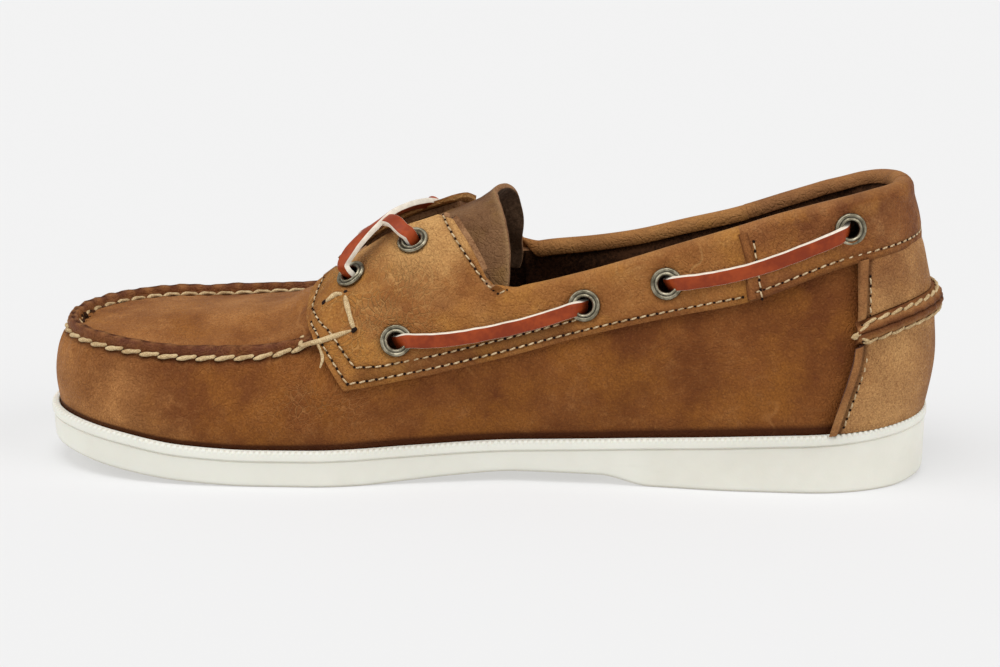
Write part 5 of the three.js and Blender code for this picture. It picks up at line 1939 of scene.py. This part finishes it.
# ---------------------------------------------------------------- tongue
@dataclass
class Tongue:
    """The tongue: one thick piece of leather with a rough back, standing up at its end."""

    finishes: Finishes
    front: float = 203.0
    thickness: float = 2.0

    def build(self) -> None:
        """Builds the tongue."""
        columns, rows = 120, 90
        along = np.linspace(0, 1, columns)[None, :]
        across = np.linspace(-1, 1, rows)[:, None]
        side = np.where(across >= 0, 1.0, -1.0)
        low_rise = 1.06 + 0.16 * along
        rise = 2 - (2 - low_rise) * np.abs(across)
        edge = Track((0, 0.2, 0.45, 0.7, 0.88, 1.0), (144.6, 142.6, 139.4, 137.4, 137.2, 138.4))
        end = edge(np.abs(across)) + 0.5 * np.sin(across * 6)
        station = end + (self.front - end) * along
        turn = LAST.turn_at(station)
        points = LAST.point(turn, rise, side)
        normals = LAST.normal(turn, rise, side)
        stand = 1 - smooth(0, 0.3, along)
        lift = -2.35 + 1.0 * stand**1.5 - 2.6 * stand * smooth(0.0, 0.7, np.abs(across))
        lift = lift + 0.5 * lumps(points, 18, 21) * (0.3 + stand) + 0.12 * lumps(points, 5, 2)
        points = points + normals * lift[..., None]
        edge = np.exp(-(((1 - np.abs(across)) / 0.03) ** 2)) + bell(along, 0.015)
        # Painted shade over the tongue's front, under the saddles and the lace.
        masks = {"seam": 0.5 * smooth(0.25, 0.6, along) + 0 * across, "worn": np.clip(0.5 * edge, 0, 1)}
        sheet = Sheet("tongue_leaf", points, normals, masks)
        sheet.dress(self.finishes.tongue, self.finishes.flesh, self.finishes.raw_edge)
        sheet.thicken(self.thickness, 0.35, rim=2, inner=1).smooth(45).finish("tongue_leather", "tongue")


# ---------------------------------------------------------------- lace
@dataclass
class Lacing:
    """The rawhide lace: bars along the band and the crossing over the throat."""

    finishes: Finishes
    eyelets: Eyelets
    width: float = 4.6
    thickness: float = 2.0

    def strap(self, name: str, path: Array, face: Array, nodes: Sequence[str]) -> None:
        """Sweeps the lace's flat section along a path.

        Args:
            name: the piece's name.
            path: the middle of the lace.
            face: the way that its smooth face looks.
            nodes: the nodes that it stands for.
        """
        run = unit(np.gradient(path, axis=0))
        face = unit(face - run * (face * run).sum(-1, keepdims=True))
        beside = np.cross(run, face)
        w, t = self.width / 2, self.thickness / 2
        section = (
            (-1.0, 0.6, 1.0),
            (-0.97, 0.88, 1.0),
            (-0.93, 0.94, 0.0),
            (-0.6, 1.02, 0.0),
            (0.0, 1.06, 0.0),
            (0.6, 1.02, 0.0),
            (0.93, 0.94, 0.0),
            (0.97, 0.88, 1.0),
            (1.0, 0.6, 1.0),
            (1.0, -0.6, 1.0),
            (0.96, -0.9, 1.0),
            (0.9, -0.96, 0.0),
            (0.4, -1.0, 0.0),
            (-0.4, -1.0, 0.0),
            (-0.9, -0.96, 0.0),
            (-0.96, -0.9, 1.0),
            (-1.0, -0.6, 1.0),
            (-1.0, 0.6, 1.0),
        )
        rough = 1 + 0.03 * lumps(path, 6, 31)[:, None]
        ring = [path + beside * (a * w) * rough + face * (b * t) for a, b, _ in section]
        points = np.stack(ring)
        start = np.broadcast_to(path[:1], points[:, :1].shape)
        finish = np.broadcast_to(path[-1:], points[:, -1:].shape)
        points = np.concatenate([start, points, finish], axis=1)
        pale = np.array([p for _, _, p in section])[:, None]
        sheet = Sheet(name, points, None, {"worn": pale})
        sheet.dress(self.finishes.lace).smooth(48).finish(THREAD_SLOT, *nodes)

    def bar(
        self, side: Side, first: tuple[str, float, float], last: tuple[str, float, float], name: str
    ) -> None:
        """Builds the lace between two eyelets of the band."""
        (_, x0, z0), (_, x1, z1) = first, last
        t = np.linspace(0, 1, 90)
        x = x0 + (x1 - x0) * t
        z = z0 + (z1 - z0) * t - 3.4 * 4 * t * (1 - t)
        spots = LAST.at(x, z, side)
        length = arc_lengths(spots.points)
        away = np.minimum(length, length[-1] - length)
        lift = np.interp(away, (0, 1.2, 2.6, 4.2, 6.5, 10, 14), (-1.6, 0.2, 2.6, 4.3, 4.5, 3.9, 3.35))
        points = spots.lifted(lift)
        face = unit(spots.normals - np.array([0.0, 0.0, 0.32]))
        self.strap(f"lace_strap_{side.label}_{name}", points, face, [f"lace_bar_{side.label}_{name}"])

    def crossing(self) -> None:
        """Builds the two straps that cross over the throat."""
        near_low, low_way = self.eyelets.places["medial_throat_lower"]
        near_top, top_way = self.eyelets.places["medial_throat_upper"]
        far_low, far_low_way = self.eyelets.places["lateral_throat_lower"]
        far_top, far_top_way = self.eyelets.places["lateral_throat_upper"]
        over = [
            near_low - low_way * 3.0,
            near_low + low_way * 1.3 + np.array([1.2, 0, 0.6]),
            (190.2, 24.4, 70.2),
            (187.0, 23.0, 75.2),
            (182.6, 18.4, 79.6),
            (177.6, 11.0, 83.0),
            (172.6, 1.5, 84.4),
            (168.6, -8.0, 83.8),
            (166.2, -16.0, 82.0),
            far_top + far_top_way * 1.4 + np.array([0.0, 0.6, 1.2]),
            far_top - far_top_way * 3.0,
        ]
        under = [
            near_top - top_way * 3.0,
            near_top + top_way * 1.4 + np.array([0.8, -0.2, 0.9]),
            (171.2, 21.6, 81.0),
            (174.6, 18.4, 83.0),
            (178.6, 12.6, 82.0),
            (182.4, 5.6, 78.0),
            (188.0, -10.0, 73.6),
            (190.2, -20.0, 70.6),
            far_low + far_low_way * 1.4 + np.array([0.4, 0.4, 1.2]),
            far_low - far_low_way * 3.0,
        ]
        hub = np.array([176.0, 0.0, 62.0])
        for name, knots, nodes in (("over", over, ["lace_crossing"]), ("under", under, [])):
            path = spline([np.asarray(k, float) for k in knots], 150)
            face = unit(path - hub)
            if name == "over":
                share = np.linspace(0, 1, 150)[:, None]
                turned = smooth(0.3, 0.62, share) * (1 - smooth(0.84, 0.95, share))
                face = np.array([0.72, 0.66, 0.1]) * (1 - turned) + np.array([0.45, -0.35, 0.82]) * turned
            self.strap(f"lace_strap_{name}", path, face, nodes)

    def build(self) -> None:
        """Builds every visible stretch of the lace."""
        front, middle_front, middle_rear, rear = self.eyelets.band[:4]
        for side in Side:
            self.bar(side, front, middle_front, "front")
            self.bar(side, middle_rear, rear, "rear")
        self.crossing()


# ---------------------------------------------------------------- stage
@dataclass(frozen=True)
class Studio:
    """A pale floor, soft light and the camera."""

    target: tuple[float, float, float] = (0.1038, 0.0, 0.0417)
    distance: float = 0.985
    azimuth: float = 6.4
    elevation: float = 14.0
    lens: float = 106.16
    floor_tone: float = 0.38
    floor_glow: float = 0.446

    def floor(self) -> None:
        """Builds the floor."""
        deselect()
        bpy.ops.mesh.primitive_plane_add(size=14)
        floor = bpy.context.object
        floor.name = "studio_floor"
        b = Bench("studio_floor")
        tone = self.floor_tone
        shade = b.mix(b.noise(3.0, 2.0), (tone, tone, tone), (tone + 0.004, tone + 0.004, tone + 0.004))
        glow: Colour = (self.floor_glow, self.floor_glow, self.floor_glow)
        lit = {"emission_color": glow, "emission_strength": 1.0}
        b.shade(base_color=shade, roughness=1.0, specular_ior_level=0.0, **lit)
        floor.data.materials.append(b.material)

    def lamp(self, name: str, way: tuple[float, float, float], angle: float, power: float) -> None:
        """Adds a broad, even light from one direction."""
        data = bpy.data.lights.new(name, "SUN")
        data.angle, data.energy = math.radians(angle), power
        lamp = bpy.data.objects.new(name, data)
        bpy.context.collection.objects.link(lamp)
        lamp.rotation_euler = Vector(way).to_track_quat("Z", "Y").to_euler()

    def camera(self) -> None:
        """Sets up the camera."""
        az, el = math.radians(self.azimuth), math.radians(self.elevation)
        way = Vector((-math.sin(az) * math.cos(el), math.cos(az) * math.cos(el), math.sin(el)))
        data = bpy.data.cameras.new("camera")
        data.lens, data.sensor_width = self.lens, 36.0
        camera = bpy.data.objects.new("camera", data)
        bpy.context.collection.objects.link(camera)
        camera.location = Vector(self.target) + way * self.distance
        camera.rotation_euler = (-way).to_track_quat("-Z", "Y").to_euler()
        bpy.context.scene.camera = camera

    def build(self) -> None:
        """Builds the stage."""
        world = bpy.data.worlds.new("soft_white")
        world.use_nodes = True
        background = world.node_tree.nodes["Background"]
        background.inputs[0].default_value = (1.0, 1.0, 1.0, 1.0)
        background.inputs[1].default_value = 0.42
        bpy.context.scene.world = world
        bpy.context.scene.view_settings.view_transform = "Standard"
        self.floor()
        self.lamp("toe_light", (1.0, 0.35, 0.75), 45.0, 0.95)
        self.lamp("heel_light", (-1.0, 0.4, 0.7), 45.0, 0.95)
        self.lamp("top_light", (0.05, 0.3, 1.0), 35.0, 1.35)
        self.camera()


def main() -> None:
    """Builds the shoe round its frame."""
    logging.basicConfig(level=logging.INFO, format="%(name)s %(message)s")
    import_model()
    finishes = Finishes.make()
    Studio().build()
    eyelets = Eyelets(finishes)
    Outsole(finishes).build()
    Upper(finishes, eyelets).build()
    for side in Side:
        Saddle(side, finishes, eyelets).build()
    RearCollar(finishes, eyelets).build()
    Heel(finishes).build()
    Tongue(finishes).build()
    eyelets.build()
    Lacing(finishes, eyelets).build()


if __name__ == "__main__":
    main()
